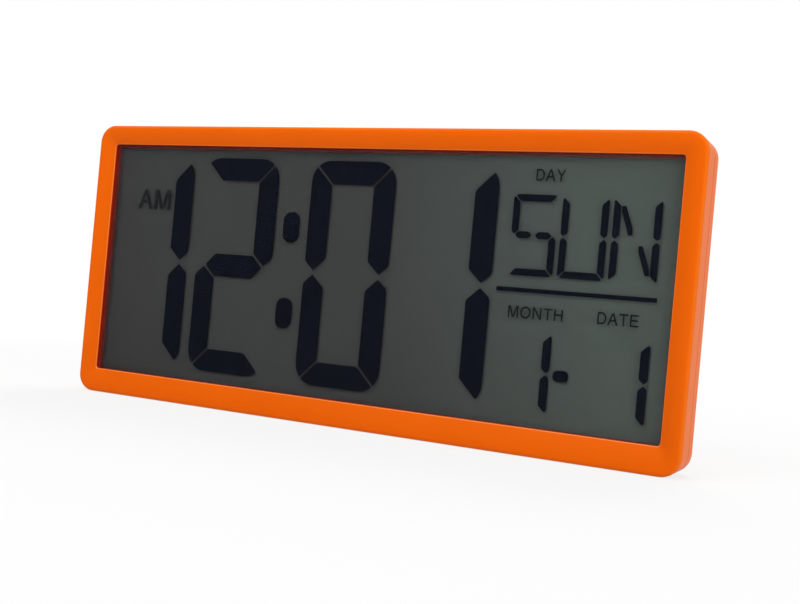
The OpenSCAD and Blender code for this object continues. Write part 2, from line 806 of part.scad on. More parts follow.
module lcd_front_glass() {
    color([0.8, 0.9, 0.88, 0.3])
        slab(front_glass_t, cell_t) span(-glass_w / 2, glass_w / 2, front_glass_z, glass_top);
}

module lcd_seal() {
    color("gainsboro") slab(cell_t, rear_glass_t) difference() {
        window_outline(film_overlap);
        window_outline(film_overlap - seal_w);
    }
}

module lcd_time_segments() {
    digits = [["b", "c"], ["a", "b", "g", "e", "d"], ["a", "b", "c", "d", "e", "f"], ["b", "c"]];
    places = [hours_x - digit_pitch, hours_x, minutes_x - digit_pitch, minutes_x];
    color("#11141d") {
        for (k = [0 : 3])
            character(digits[k], places[k], window_z, digit_w, digit_h, digit_stroke, bar_gap)
                rounded_rect(digit_w, digit_h, digit_r);
        for (z = [-1, 1]) slab(cell_t, rear_glass_t)
            translate([colon_x, window_z + z * dot_pitch / 2]) rounded_rect(dot_w, dot_h, 0.46 * dot_w);
    }
}

module lcd_day_segments() {
    letters = [["a", "f", "g1", "g2", "c", "d"], ["b", "c", "d", "e", "f"], ["f", "e", "h", "k", "b", "c"]];
    color("#11141d") {
        for (k = [0 : 2])
            small_character(letters[k], small_x - letter_w / 2 - (2 - k) * letter_pitch, day_z,
                letter_w, day_h, letter_stroke);
        slab(cell_t, rear_glass_t) translate([small_x + 1 - rule_l / 2, rule_z])
            square([rule_l, rule_th], center = true);
    }
}

module lcd_date_segments() {
    color("#11141d") {
        for (x = [month_x, small_x])
            small_character(["b", "c"], x - date_w / 2, date_z, date_w, date_h, date_stroke);
        slab(cell_t, rear_glass_t) translate([month_x + dash_gap + dash_w / 2, date_z - dash_drop])
            rounded_rect(dash_w, dash_h, 0.45 * dash_h);
    }
}

module lcd_rear_glass() {
    color([0.8, 0.9, 0.88, 0.3])
        slab(rear_glass_t, reflector_t) span(-glass_w / 2, glass_w / 2, rear_glass_z, glass_top);
}

module lcd_reflector() {
    color("#5a635d") slab(reflector_t, holder_t) window_outline(film_overlap);
}

module lcd_holder() {
    edge = 0.3;
    color("whitesmoke") difference() {
        union() {
            slab(holder_t, holder_back_t) {
                span(edge - glass_w / 2, glass_w / 2 - edge, rear_glass_z + 2, glass_top - edge);
                for (p = ear_places) translate(p) square([2 * ear_boss_r, ear_h], center = true);
                for (p = ear_places) span(min(p[0], sign(p[0]) * (glass_w / 2 - 2)),
                    max(p[0], sign(p[0]) * (glass_w / 2 - 2)), p[1] - ear_h / 2, p[1] + ear_h / 2);
            }
            slab(holder_back_t, board_t) at(board_places) circle(standoff_r);
        }
        slab(holder_t - 1, holder_back_t + 1) at(ear_places) circle(small_screw_r + fit_gap);
        slab(holder_t + 0.3, board_t + 1) at(board_places) circle(small_screw_r + thread_gap);
    }
}

// Electronics

module contact_strip() {
    color("gray") slab(cell_t, board_t) span(-strip_l / 2, strip_l / 2, strip_z, strip_z + strip_th);
}

module main_board() {
    color("darkgreen") slab(board_t, board_back_t) difference() {
        span(-board_w / 2, board_w / 2, board_z, board_z + board_h);
        at(board_places) circle(small_screw_r + fit_gap);
    }
}

module chip_blobs() {
    blob_r = 6;
    blob_h = 1.5;
    left_chip_x = 18;
    right_chip_x = 22;
    ball_r = (blob_r * blob_r + blob_h * blob_h) / (2 * blob_h);
    color("#1c1c1c") for (x = [-left_chip_x, right_chip_x])
        translate([x, depth_y(board_back_t), board_mid_z]) rotate([-90, 0, 0]) intersection() {
            translate([0, 0, blob_h - ball_r]) sphere(ball_r, $fn = 200);
            cylinder(r = blob_r, h = blob_h);
        }
}

module quartz_crystal() {
    can_r = 1.5;
    can_l = 8;
    can_x = 44;
    color("silver") translate([-can_x, depth_y(board_back_t + can_r), board_mid_z - can_l / 2])
        cylinder(r = can_r, h = can_l);
}

module board_parts() {
    chip_w = 3.2;
    chip_d = 1.2;
    chip_h = 1.6;
    chip_x = 68;
    chip_drop = 6;
    step_x = 6;
    step_z = 5;
    can_r = 2.5;
    can_h = 5.4;
    can_x = 58;
    color("#b08d57") {
        for (i = [0 : 2], j = [0 : 1])
            translate([i * step_x - chip_x, depth_y(board_back_t), board_mid_z + j * step_z - chip_drop])
                cube([chip_w, chip_d, chip_h]);
        translate([can_x, depth_y(board_back_t), board_mid_z]) rotate([-90, 0, 0])
            cylinder(r = can_r, h = can_h);
    }
}

module button_board() {
    color("darkgreen") slab(button_board_t, button_board_back_t) difference() {
        translate([-button_board_x, button_board_z]) square([button_board_w, button_board_h], center = true);
        at(board_post_places) circle(small_screw_r + fit_gap);
    }
}

module tact_switches() {
    color("#2a2a2c") for (k = [0 : 3]) difference() {
        slab(button_board_back_t, switch_top_t) translate([button_x(k), button_row_z])
            square(switch_side, center = true);
        slab(switch_top_t - well_d, switch_top_t + 1) translate([button_x(k), button_row_z])
            circle(plunger_r + plunger_gap);
    }
}

// A push button: a dished cap, a stem and a flange that keeps it in its hole
module push_button(k) {
    dish_r = 14;
    dish_d = 0.4;
    translate([button_x(k), 0, button_row_z]) difference() {
        union() {
            slab(flange_t, flange_t + flange_th) circle(flange_r);
            slab(flange_t, button_face_t) circle(button_r);
        }
        translate([0, depth_y(button_face_t - dish_d + dish_r), 0]) sphere(dish_r);
    }
}

module plunger(k) {
    color("ivory") slab(plunger_t, flange_t) translate([button_x(k), button_row_z]) circle(plunger_r);
}

module mode_button() { color("#3a3a3d") push_button(0); }
module set_button() { color("#3a3a3d") push_button(1); }
module up_button() { color("#3a3a3d") push_button(2); }
module down_button() { color("#3a3a3d") push_button(3); }
module mode_plunger() { plunger(0); }
module set_plunger() { plunger(1); }
module up_plunger() { plunger(2); }
module down_plunger() { plunger(3); }

slide_top_t = button_board_back_t + slide_d;
slide_well_d = 1.4;
slide_foot_gap = 0.2;

module alarm_switch_body() {
    color("silver") difference() {
        slab(button_board_back_t, slide_top_t) translate([slide_x + switch_travel / 2, slide_z])
            square([slide_w, slide_h], center = true);
        slab(slide_top_t - slide_well_d, slide_top_t + 1)
            span(slide_x - slide_stem / 2 - slide_gap, slide_x + slide_stem / 2 + switch_travel + slide_gap,
                slide_z - slide_stem / 2 - slide_foot_gap, slide_z + slide_stem / 2 + slide_foot_gap);
    }
}

module alarm_switch_knob() {
    face_t = case_d - slide_sunk;
    head_t = slide_top_t + slide_foot_gap;
    ridge = 0.5;
    color("#3a3a3d") translate([slide_x, 0, slide_z]) difference() {
        union() {
            slab(slide_top_t - slide_well_d + slide_foot_gap, head_t) square(slide_stem, center = true);
            slab(head_t, face_t) square([slide_head_w, slide_head_h], center = true);
        }
        slab(face_t - ridge, face_t + 1) for (k = [-1 : 1])
            translate([2 * k * ridge, 0]) square([ridge, slide_head_h + 1], center = true);
    }
}

module buzzer() {
    color("#1c1c1c") slab(button_board_back_t, button_board_back_t + buzzer_h) translate([buzzer_x, buzzer_z])
        circle(buzzer_r);
}

module ribbon_headers() {
    color("ivory") {
        slab(board_back_t, board_back_t + header_d) translate([ribbon_x, ribbon_start[1]])
            square([header_w, header_h], center = true);
        slab(button_board_t - header_d, button_board_t) translate([ribbon_x, ribbon_end[1]])
            square([header_w, header_h], center = true);
    }
}

function bezier(a, b, c, d, u) = let (v = 1 - u)
    v * v * v * a + 3 * v * v * u * b + 3 * v * u * u * c + u * u * u * d;

module ribbon_cable() {
    pull = [ribbon_pull, 0];
    path = [for (k = [0 : ribbon_steps])
        bezier(ribbon_start, ribbon_start + pull, ribbon_end - pull, ribbon_end, k / ribbon_steps)];
    normals = [for (k = [0 : ribbon_steps]) let (d = direction(path, k))
        k == 0 || k == ribbon_steps ? [0, 1] : [-d[1], d[0]]];
    edge = [for (k = [0 : ribbon_steps]) path[k] + ribbon_th / 2 * normals[k]];
    back_edge = [for (k = [ribbon_steps : -1 : 0]) path[k] - ribbon_th / 2 * normals[k]];
    color("slategray") translate([ribbon_x - ribbon_w / 2, depth_y(0), 0])
        rotate([90, 0, 90]) linear_extrude(ribbon_w) polygon(concat(edge, back_edge));
}

// Power

// A round cell along X with its cap towards the given side
module cell(x, z, side) {
    can_l = cell_l - cap_l;
    color("dimgray") translate([x, depth_y(cell_mid_t), z]) rotate([0, side * 90, 0]) {
        translate([0, 0, -cell_l / 2]) cylinder(d = cell_d, h = can_l);
        translate([0, 0, can_l - cell_l / 2]) cylinder(r = cap_r, h = cap_l);
    }
}

module upper_cell() { cell(left_face + touch_gap + cell_l / 2, upper_z, -1); }
module lower_cell() { cell(right_face - touch_gap - cell_l / 2, lower_z, 1); }

module contact_face(x, z, h) {
    translate([x, depth_y(cell_mid_t) - contact_d / 2, z - h / 2]) cube([contact_th, contact_d, h]);
}

module bridge_contact() {
    color("silver") contact_face(left_face - contact_th, bay_z, cell_pitch + contact_h);
}

module end_contacts() {
    color("silver") for (z = [lower_z, upper_z]) {
        contact_face(right_face, z, contact_h);
        translate([right_face, depth_y(tab_t) - contact_th / 2, z - tab_w / 2])
            cube([lead_start_x - right_face, contact_th, tab_w]);
    }
}

// Centre line of a contact spring that narrows away from its plate
function spring_path(x, z, side) = [for (k = [0 : spring_rings * spring_turns])
    let (u = k / (spring_rings * spring_turns), r = spring_big_r + (spring_small_r - spring_big_r) * u,
        reach = touch_gap + spring_wire / 2 + (spring_l - 2 * touch_gap - spring_wire) * u,
        turn = 360 * spring_turns * u)
    [x + side * reach, depth_y(cell_mid_t) + r * cos(turn), z + r * sin(turn)]];

// Least clear distance between parts of a spring more than half a turn apart
function self_gap(path) = let (last = len(path) - 1)
    min([for (k = [0 : last], j = [k + spring_rings / 2 + 1 : 1 : last]) norm(path[j] - path[k])])
        - spring_wire;

module contact_springs() {
    paths = [spring_path(left_face, lower_z, 1), spring_path(right_face, upper_z, -1)];
    echo(spring_self_gap = [for (path = paths) self_gap(path)]);
    color("silver") for (path = paths) tube(path, spring_wire / 2, spring_sides, [1, 0, 0]);
}

module red_lead() { color("firebrick") lead(red_route); }
module black_lead() { color("#1c1c1c") lead(black_route); }

// Battery door, which swings out on its two hooks

module battery_door() {
    left = door_hinge_x;
    right = bay_x + door_w / 2;
    hook_root = 0.4;
    hook_t = back_t - fit_gap - hook_th;
    color("orange") {
        difference() {
            union() {
                slab(door_t, case_d) span(left, right, bay_z - door_h / 2, bay_z + door_h / 2);
                translate([left, depth_y(door_hinge_t), bay_z - door_h / 2])
                    cylinder(d = door_th, h = door_h);
                for (z = hook_places) {
                    slab(hook_t, hook_t + hook_th)
                        span(left - door_th / 2 - hook_reach, left + hook_root,
                            z - hook_w / 2, z + hook_w / 2);
                    slab(hook_t, door_hinge_t)
                        span(left - door_th / 2 + 0.1, left + hook_root, z - hook_w / 2, z + hook_w / 2);
                }
                slab(door_t - latch_d, door_t + 0.1)
                    span(bay_right - 0.6 - latch_th, bay_right - 0.6,
                        bay_z - latch_w / 2, bay_z + latch_w / 2);
            }
            slab(case_d - 0.5, case_d + 1) for (k = [0 : 3])
                span(right - 6 - 2.4 * k, right - 4.8 - 2.4 * k, bay_z - thumb_w / 2, bay_z + thumb_w / 2);
        }
    }
}

// Fold-out stand

module table_stand() {
    half = stand_w / 2;
    color("orange") difference() {
        union() {
            slab(stand_t, stand_t + stand_th) span(-half, half, stand_end, hinge_z);
            translate([-half, depth_y(stand_mid_t), hinge_z]) rotate([0, 90, 0])
                cylinder(d = stand_th, h = stand_w);
            slab(stand_mid_t - heel_reach, stand_mid_t) span(-half / 2, half / 2, hinge_z, hinge_z + heel_h);
        }
        slab(stand_t - 1, stand_t + stand_th - stand_skin) for (k = [-1 : 1])
            translate([k * stand_w / 3, 0]) span(stand_rib / 2 - stand_w / 6, stand_w / 6 - stand_rib / 2,
                stand_end + stand_rib, hinge_z - stand_th);
        translate([-half - 1, depth_y(stand_mid_t), hinge_z]) rotate([0, 90, 0])
            cylinder(r = hinge_pin_r + hinge_gap, h = stand_w + 2);
    }
}

module stand_pin() {
    color("silver") translate([-pin_l / 2, depth_y(stand_mid_t), hinge_z]) rotate([0, 90, 0])
        cylinder(r = hinge_pin_r, h = pin_l);
}

module stand_pad() {
    color("#242424") slab(stand_t + 0.3, stand_t + stand_th - 0.3)
        span(-pad_w / 2, pad_w / 2, stand_end - pad_th, stand_end);
}

// Fasteners

module case_screws() {
    seat_t = post_end_t + head_seat;
    color("silver") for (p = post_places)
        screw(p, case_screw_r, case_head_r, case_head_h, seat_t, plate_t + 3);
}

module holder_screws() {
    color("silver") for (p = ear_places)
        screw(p, small_screw_r, small_head_r, small_head_h, holder_back_t, plate_t);
}

module board_screws() {
    color("silver") for (p = board_places)
        screw(p, small_screw_r, small_head_r, small_head_h, board_back_t, holder_t + 0.6);
}

module button_board_screws() {
    color("silver") for (p = board_post_places)
        screw(p, small_screw_r, small_head_r, small_head_h, button_board_t, back_t - 1);
}

front_bezel();
rear_cover();
lcd_gasket();
lcd_front_polariser();
lcd_front_glass();
lcd_seal();
lcd_time_segments();
lcd_day_segments();
lcd_date_segments();
lcd_rear_glass();
lcd_reflector();
lcd_holder();
contact_strip();
main_board();
chip_blobs();
quartz_crystal();
board_parts();
button_board();
tact_switches();
mode_button();
set_button();
up_button();
down_button();
mode_plunger();
set_plunger();
up_plunger();
down_plunger();
alarm_switch_body();
alarm_switch_knob();
buzzer();
ribbon_cable();
ribbon_headers();
upper_cell();
lower_cell();
bridge_contact();
end_contacts();
contact_springs();
red_lead();
black_lead();
battery_door();
table_stand();
stand_pin();
stand_pad();
case_screws();
holder_screws();
board_screws();
button_board_screws();
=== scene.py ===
"""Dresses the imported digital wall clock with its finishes, softened mouldings, screws, wiring and words."""

import math

import bmesh
import bpy
from bpy.props import FloatProperty, FloatVectorProperty, IntProperty, PointerProperty
from mathutils import Matrix, Vector


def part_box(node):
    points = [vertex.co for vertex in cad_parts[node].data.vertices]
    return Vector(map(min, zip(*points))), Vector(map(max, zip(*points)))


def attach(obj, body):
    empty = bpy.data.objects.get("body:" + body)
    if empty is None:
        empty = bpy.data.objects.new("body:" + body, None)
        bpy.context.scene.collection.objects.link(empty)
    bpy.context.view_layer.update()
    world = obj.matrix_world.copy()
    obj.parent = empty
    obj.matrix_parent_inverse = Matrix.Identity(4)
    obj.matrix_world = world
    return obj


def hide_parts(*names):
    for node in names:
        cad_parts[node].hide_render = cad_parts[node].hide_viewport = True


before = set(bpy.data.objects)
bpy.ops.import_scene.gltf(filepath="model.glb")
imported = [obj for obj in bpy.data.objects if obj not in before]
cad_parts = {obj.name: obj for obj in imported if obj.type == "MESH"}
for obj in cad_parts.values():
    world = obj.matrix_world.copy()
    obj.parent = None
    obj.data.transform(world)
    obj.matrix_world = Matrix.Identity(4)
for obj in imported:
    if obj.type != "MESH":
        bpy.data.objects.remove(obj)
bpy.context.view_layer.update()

bl_info = {
    "name": "Digital wall clock",
    "version": (1, 0, 0),
    "blender": (4, 5, 0),
    "location": "View3D > Sidebar > Clock",
    "description": "Dresses a packed digital wall clock, piece by piece",
    "category": "Object",
}

MM = 0.001
BEZEL_LO, BEZEL_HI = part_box("front_bezel")
HALF_W = BEZEL_HI.x
HEIGHT = BEZEL_HI.z
FRONT = BEZEL_LO.y
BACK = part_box("rear_cover")[1].y
# Floor of the shallow recess round the controls
PANEL_FLOOR = BACK - 0.3 * MM
# A gap or a tolerance too small to see, and the distance at which points are merged
HAIR = 0.02 * MM
WELD = 0.001 * MM
# Angle under which two faces of a copied solid are made one
FLAT_ANGLE = math.radians(0.4)
CORNER_STEPS = 12
FILLET_STEPS = 8
DISH_STEPS = 12
EDGE_STEPS = 5
FINE_STEPS = 2
SOFT_STEPS = 3
# Painted sheen on the case: its rounded rim and sides are painted paler, standing in for the highlight and
# grazing sheen they catch.
# Name of the attribute, how much of a normal lies along the depth where the sheen starts and is full,
# and the depth of the skin that has it, in front edges
SHEEN_ATTRIBUTE = "side"
SHEEN_START = 0.98
SHEEN_FULL = 0.78
SHEEN_SKIN = 1.05


# Properties that a user would change

def length(name, description, millimetres):
    """A size given in millimetres and kept in metres."""
    return FloatProperty(
        name=name, description=description, default=millimetres * MM, min=0, unit="LENGTH", precision=5)


def share(name, description, value, top=1):
    """A plain number from nought to top."""
    return FloatProperty(name=name, description=description, default=value, min=0, max=top, subtype="FACTOR")


def tint(name, description, red, green, blue):
    """A linear colour."""
    return FloatVectorProperty(
        name=name, description=description, default=(red, green, blue), size=3, min=0, max=1, subtype="COLOR")


class ClockSizes(bpy.types.PropertyGroup):
    """Sizes of the softened mouldings and of the small parts."""
    corner_radius: length("Corner radius", "Radius of the case corners seen from the front", 10)
    front_edge: length("Front edge", "Radius of the edge round the front rim", 2)
    rim_flat: length("Rim flat", "Width of the flat on the front rim", 0.4)
    side_border: length("Side border", "Width of the frame beside the window", 10.7)
    top_border: length("Top border", "Width of the frame above the window", 11)
    bottom_border: length("Bottom border", "Width of the frame below the window", 13.8)
    window_radius: length("Window radius", "Radius of the window corners", 1.8)
    window_edge: length("Window edge", "Size of the rounded edge between dish and window", 0.42)
    dish_depth: length("Dish depth", "How far the frame falls from rim to window", 2.8)
    dish_bulge: share("Dish bulge", "1 gives a flat dish and more a convex one", 1.7, 4)
    plate_depth: length("Plate depth", "Depth of the front plate's back", 4)
    lip_depth: length("Lip depth", "Depth of the window lip, just short of the film", 4.34)
    # Widths of the painted shadow of the window's lip on the film, wider at the left and the top
    lip_shade_left: length("Film border, left", "Dark edge of the film at the left", 4.2)
    lip_shade_top: length("Film border, top", "Dark edge of the film at the top", 2.4)
    lip_shade_thin: length("Film border, thin", "Dark edge of the film at the right and the bottom", 0.9)
    lip_thick: length("Lip thickness", "Thickness of the lip behind the plate", 0.45)
    shell_depth: length("Shell depth", "Depth of the front shell's rear edge", 15.8)
    wall: length("Wall", "Thickness of the shell", 2.2)
    seam_chamfer: length("Seam chamfer", "Chamfer on the parting line", 0.3)
    soft_edge: length("Soft edge", "Rounding of moulded edges on the back", 0.25)
    fine_edge: length("Fine edge", "Rounding of edges in the control panel", 0.1)
    spring_wire: length("Spring wire", "Thickness of the contact springs", 0.8)
    lead_wire: length("Lead wire", "Thickness of the leads", 1.2)
    conductors: IntProperty(name="Conductors", description="Wires in the ribbon cable", default=10, min=2)


class ClockColours(bpy.types.PropertyGroup):
    """Colours of the finishes."""
    case: tint("Case", "Moulded case", 0.785, 0.116, 0.001)
    # Painted sheen and highlight: this paler colour on the rounded rim and sides stands in for the light they
    # catch at grazing angles
    side: tint("Side", "Rounded rim and sides of the case, where the thin wall is paler", 0.83, 0.155, 0.006)
    # Painted highlight: the window's rounded edge is painted lighter, standing in for the light it catches
    edge: tint("Edge", "Bright line round the window", 0.85, 0.19, 0.022)
    # Painted shade: the window's deep lip is painted darker and redder, standing in for the shade in that
    # recess
    lip: tint("Lip", "Deep inner edge of the window", 0.46, 0.011, 0.0)
    ink: tint("Ink", "Dark segments of the display", 0.002, 0.006, 0.028)
    legend: tint("Legend", "Printed words on the display", 0.034, 0.049, 0.046)
    morning: tint("Morning word", "Paler ink of the morning word", 0.052, 0.052, 0.06)
    pale: tint("Display, lit side", "Reflector where the display looks pale", 0.332, 0.407, 0.368)
    middle: tint("Display, middle", "Reflector in the middle of the display", 0.223, 0.235, 0.23)
    dim: tint("Display, dim side", "Reflector where the display looks dark", 0.192, 0.185, 0.185)
    film: tint("Film", "Front polariser", 0.008, 0.009, 0.01)
    # Painted shadow of the window's lip on the film, tinted by the reddish light the lip throws there
    border: tint("Film border", "Front polariser beside the window's edge", 0.29, 0.016, 0.006)
    glass: tint("Glass", "Display glass", 0.05, 0.07, 0.06)
    dark: tint("Dark plastic", "Buttons and switch bodies", 0.032, 0.032, 0.036)
    white: tint("White plastic", "Holder, headers and printed words", 0.75, 0.74, 0.7)
    board: tint("Board", "Solder mask", 0.012, 0.11, 0.04)
    trace: tint("Trace", "Copper under the solder mask", 0.03, 0.2, 0.075)
    steel: tint("Steel", "Plated steel", 0.64, 0.64, 0.62)
    wrap: tint("Wrap", "Printed wrap of the cells", 0.05, 0.055, 0.065)
    band: tint("Band", "Pale band of the cells", 0.5, 0.36, 0.14)
    ribbon: tint("Ribbon", "Ribbon cable", 0.32, 0.33, 0.35)
    seal: tint("Seal", "Line of glue between the display's glasses", 0.5, 0.5, 0.45)
    foam: tint("Foam", "Gasket between the window and the display", 0.03, 0.03, 0.032)
    strip: tint("Strip", "Outer layers of the contact strip", 0.5, 0.27, 0.25)
    core: tint("Strip core, dark", "Conducting layers in the contact strip", 0.012, 0.012, 0.012)
    between: tint("Strip core, pale", "Layers between the conducting ones", 0.3, 0.24, 0.22)
    rubber: tint("Rubber", "Pad under the stand", 0.018, 0.018, 0.018)
    parts: tint("Parts", "Small parts on the main board", 0.42, 0.26, 0.1)
    red: tint("Red wire", "Red lead and the marked edge of the ribbon", 0.45, 0.015, 0.012)
    black: tint("Black wire", "Black lead", 0.015, 0.015, 0.016)


def sizes():
    """The sizes that the scene holds."""
    return bpy.context.scene.clock_sizes


def colours():
    """The colours that the scene holds."""
    return bpy.context.scene.clock_colours


def at_depth(depth):
    """Y of a plane that lies this far behind the front rim."""
    return FRONT + depth


# Shader groups and finishes

# Sockets of a Mix node that mixes colours
MIX_FIRST, MIX_SECOND, MIX_RESULT = 6, 7, 2
# Heights of the grain in plastic and in metal, and how strongly metal shows it
PLASTIC_GRAIN = 0.05 * MM
METAL_GRAIN = 0.02 * MM
METAL_RELIEF = 0.05
# Grain and drift of shade of the clear sheets, and how much of the glass is seen
SHEET_GRAIN = 3000.0
SHEET_SHADE = 0.05
GLASS_ALPHA = 0.03
# Alpha of the film away from the lip's painted shadow, and what that painted shadow leaves clear at the very
# edge
FILM_ALPHA = 0.3
FILM_EDGE = 0.15


def new_group(name, inputs, outputs):
    """A shader group with its sockets; values are (type, default) by name."""
    group = bpy.data.node_groups.new(name, "ShaderNodeTree")
    for label, (kind, default) in inputs.items():
        socket = group.interface.new_socket(label, in_out="INPUT", socket_type="NodeSocket" + kind)
        if default is not None:
            socket.default_value = default
    for label, kind in outputs.items():
        group.interface.new_socket(label, in_out="OUTPUT", socket_type="NodeSocket" + kind)
    start = group.nodes.new("NodeGroupInput")
    end = group.nodes.new("NodeGroupOutput")
    return group, start.outputs, end.inputs


def add_node(tree, kind, settings=None, **links):
    """A node with its settings; links are input names with a socket or a plain value."""
    node = tree.nodes.new(kind)
    for key, value in (settings or {}).items():
        setattr(node, key, value)
    for key, value in links.items():
        wire(tree, value, node.inputs[key.replace("_", " ")])
    return node


def wire(tree, value, socket):
    """Links a socket to an input, or sets the input to a plain value."""
    if isinstance(value, bpy.types.NodeSocket):
        tree.links.new(value, socket)
    else:
        socket.default_value = value


def noise(tree, vector, scale, detail=2.0):
    """Smooth noise from nought to one."""
    node = add_node(tree, "ShaderNodeTexNoise", None, Vector=vector, Scale=scale, Detail=detail)
    return node.outputs["Fac"]


def spread(tree, value, low, high, start, end):
    """Maps a value from one range to another."""
    node = add_node(tree, "ShaderNodeMapRange", None, Value=value, From_Min=low, From_Max=high,
                    To_Min=start, To_Max=end)
    return node.outputs["Result"]


def calculate(tree, operation, *values):
    """The result of a Math node on sockets or plain values."""
    node = add_node(tree, "ShaderNodeMath", {"operation": operation})
    for value, socket in zip(values, node.inputs):
        wire(tree, value, socket)
    return node.outputs[0]


def moulded_skin():
    """Moulded plastic and rubber: slow drift of shade, with fine grain in gloss and height."""
    found = bpy.data.node_groups.get("moulded_skin")
    if found:
        return found
    group, given, out = new_group(
        "moulded_skin",
        {"Vector": ("Vector", None), "Colour": ("Color", (0.5, 0.5, 0.5, 1)), "Shade": ("Float", 0.05),
         "Grain": ("Float", 2000), "Smooth": ("Float", 0.3), "Dull": ("Float", 0.5)},
        {"Colour": "Color", "Roughness": "Float", "Height": "Float"})
    drift = noise(group, given["Vector"], 30.0)
    fine = noise(group, given["Vector"], given["Grain"], 3.0)
    lowest = calculate(group, "SUBTRACT", 1.0, given["Shade"])
    value = spread(group, drift, 0.3, 0.7, lowest, 1.0)
    toned = add_node(group, "ShaderNodeHueSaturation", None, Color=given["Colour"], Value=value)
    wire(group, toned.outputs["Color"], out["Colour"])
    wire(group, spread(group, fine, 0.3, 0.7, given["Smooth"], given["Dull"]), out["Roughness"])
    wire(group, fine, out["Height"])
    return group


def drawn_metal():
    """Rolled or drawn metal: streaks along one direction in tone, gloss and height."""
    found = bpy.data.node_groups.get("drawn_metal")
    if found:
        return found
    group, given, out = new_group(
        "drawn_metal",
        {"Vector": ("Vector", None), "Colour": ("Color", (0.6, 0.6, 0.6, 1)),
         "Stretch": ("Vector", (200, 4000, 4000)), "Smooth": ("Float", 0.2), "Dull": ("Float", 0.4)},
        {"Colour": "Color", "Roughness": "Float", "Height": "Float"})
    scaled = add_node(group, "ShaderNodeVectorMath", {"operation": "MULTIPLY"})
    wire(group, given["Vector"], scaled.inputs[0])
    wire(group, given["Stretch"], scaled.inputs[1])
    streak = noise(group, scaled.outputs[0], 1.0, 4.0)
    toned = add_node(group, "ShaderNodeHueSaturation", None, Color=given["Colour"],
                     Value=spread(group, streak, 0.3, 0.7, 0.82, 1.05))
    wire(group, toned.outputs["Color"], out["Colour"])
    wire(group, spread(group, streak, 0.3, 0.7, given["Smooth"], given["Dull"]), out["Roughness"])
    wire(group, streak, out["Height"])
    return group


def principled(name):
    """A material with one Principled shader, its tree and the object coordinates."""
    material = bpy.data.materials.new(name)
    material.use_nodes = True
    tree = material.node_tree
    tree.nodes.clear()
    shader = tree.nodes.new("ShaderNodeBsdfPrincipled")
    output = tree.nodes.new("ShaderNodeOutputMaterial")
    tree.links.new(shader.outputs["BSDF"], output.inputs["Surface"])
    coords = tree.nodes.new("ShaderNodeTexCoord").outputs["Object"]
    return material, tree, shader, coords


def use_group(tree, group, vector, **values):
    """Places a shader group in a material with its own values."""
    node = tree.nodes.new("ShaderNodeGroup")
    node.node_tree = group
    wire(tree, vector, node.inputs["Vector"])
    for key, value in values.items():
        wire(tree, value, node.inputs[key])
    return node.outputs


def raise_grain(tree, shader, height, relief, depth):
    """Feeds a height into the shader's normal."""
    bump = add_node(tree, "ShaderNodeBump", None, Height=height, Strength=relief, Distance=depth)
    tree.links.new(bump.outputs["Normal"], shader.inputs["Normal"])


def opaque(colour):
    """A plain colour as a socket takes it."""
    return (*colour, 1.0)


def mixed_colour(tree, part, first, second):
    """A colour that goes from the first to the second as part goes from nought to one."""
    mix = add_node(tree, "ShaderNodeMix", {"data_type": "RGBA"}, Factor=part)
    mix.inputs[MIX_FIRST].default_value = opaque(first)
    mix.inputs[MIX_SECOND].default_value = opaque(second)
    return mix.outputs[MIX_RESULT]


def put_on(tree, shader, skin):
    """Feeds the colour and the roughness of a skin into a shader."""
    tree.links.new(skin["Colour"], shader.inputs["Base Color"])
    tree.links.new(skin["Roughness"], shader.inputs["Roughness"])


def moulded(name, colour, grain, smooth, dull, shade, relief, specular=0.5):
    """Moulded plastic, rubber or ink. Colour is a colour's name, or a function of tree and coordinates."""
    material, tree, shader, coords = principled(name)
    base = colour(tree, coords) if callable(colour) else opaque(getattr(colours(), colour))
    skin = use_group(tree, moulded_skin(), coords, Colour=base, Shade=shade, Grain=grain,
                     Smooth=smooth, Dull=dull)
    put_on(tree, shader, skin)
    shader.inputs["Specular IOR Level"].default_value = specular
    raise_grain(tree, shader, skin["Height"], relief, PLASTIC_GRAIN)
    return material


def metal(name, colour, stretch, smooth, dull):
    """Plated or drawn metal."""
    material, tree, shader, coords = principled(name)
    skin = use_group(tree, drawn_metal(), coords, Colour=opaque(getattr(colours(), colour)), Stretch=stretch,
                     Smooth=smooth, Dull=dull)
    put_on(tree, shader, skin)
    shader.inputs["Metallic"].default_value = 1.0
    raise_grain(tree, shader, skin["Height"], METAL_RELIEF, METAL_GRAIN)
    return material


def clear_sheet(name, look, smooth, dull, specular):
    """A sheet in front of the display, with a faintly uneven gloss; look gives its colour and alpha."""
    material, tree, shader, coords = principled(name)
    colour, alpha = look(tree, coords)
    skin = use_group(tree, moulded_skin(), coords, Colour=colour, Shade=SHEET_SHADE, Grain=SHEET_GRAIN,
                     Smooth=smooth, Dull=dull)
    put_on(tree, shader, skin)
    wire(tree, alpha, shader.inputs["Alpha"])
    shader.inputs["Specular IOR Level"].default_value = specular
    return material


def case_colour(tree, coords):
    """The moulded colour of the case, with painted sheen: paler where its skin turns to the side, for the
    rim's highlight and the sides' sheen.
    """
    side = add_node(tree, "ShaderNodeAttribute", {"attribute_name": SHEEN_ATTRIBUTE})
    return mixed_colour(tree, side.outputs["Fac"], colours().case, colours().side)


def glass_look(tree, coords):
    """Colour and alpha of the glass, the same all over."""
    return opaque(colours().glass), GLASS_ALPHA


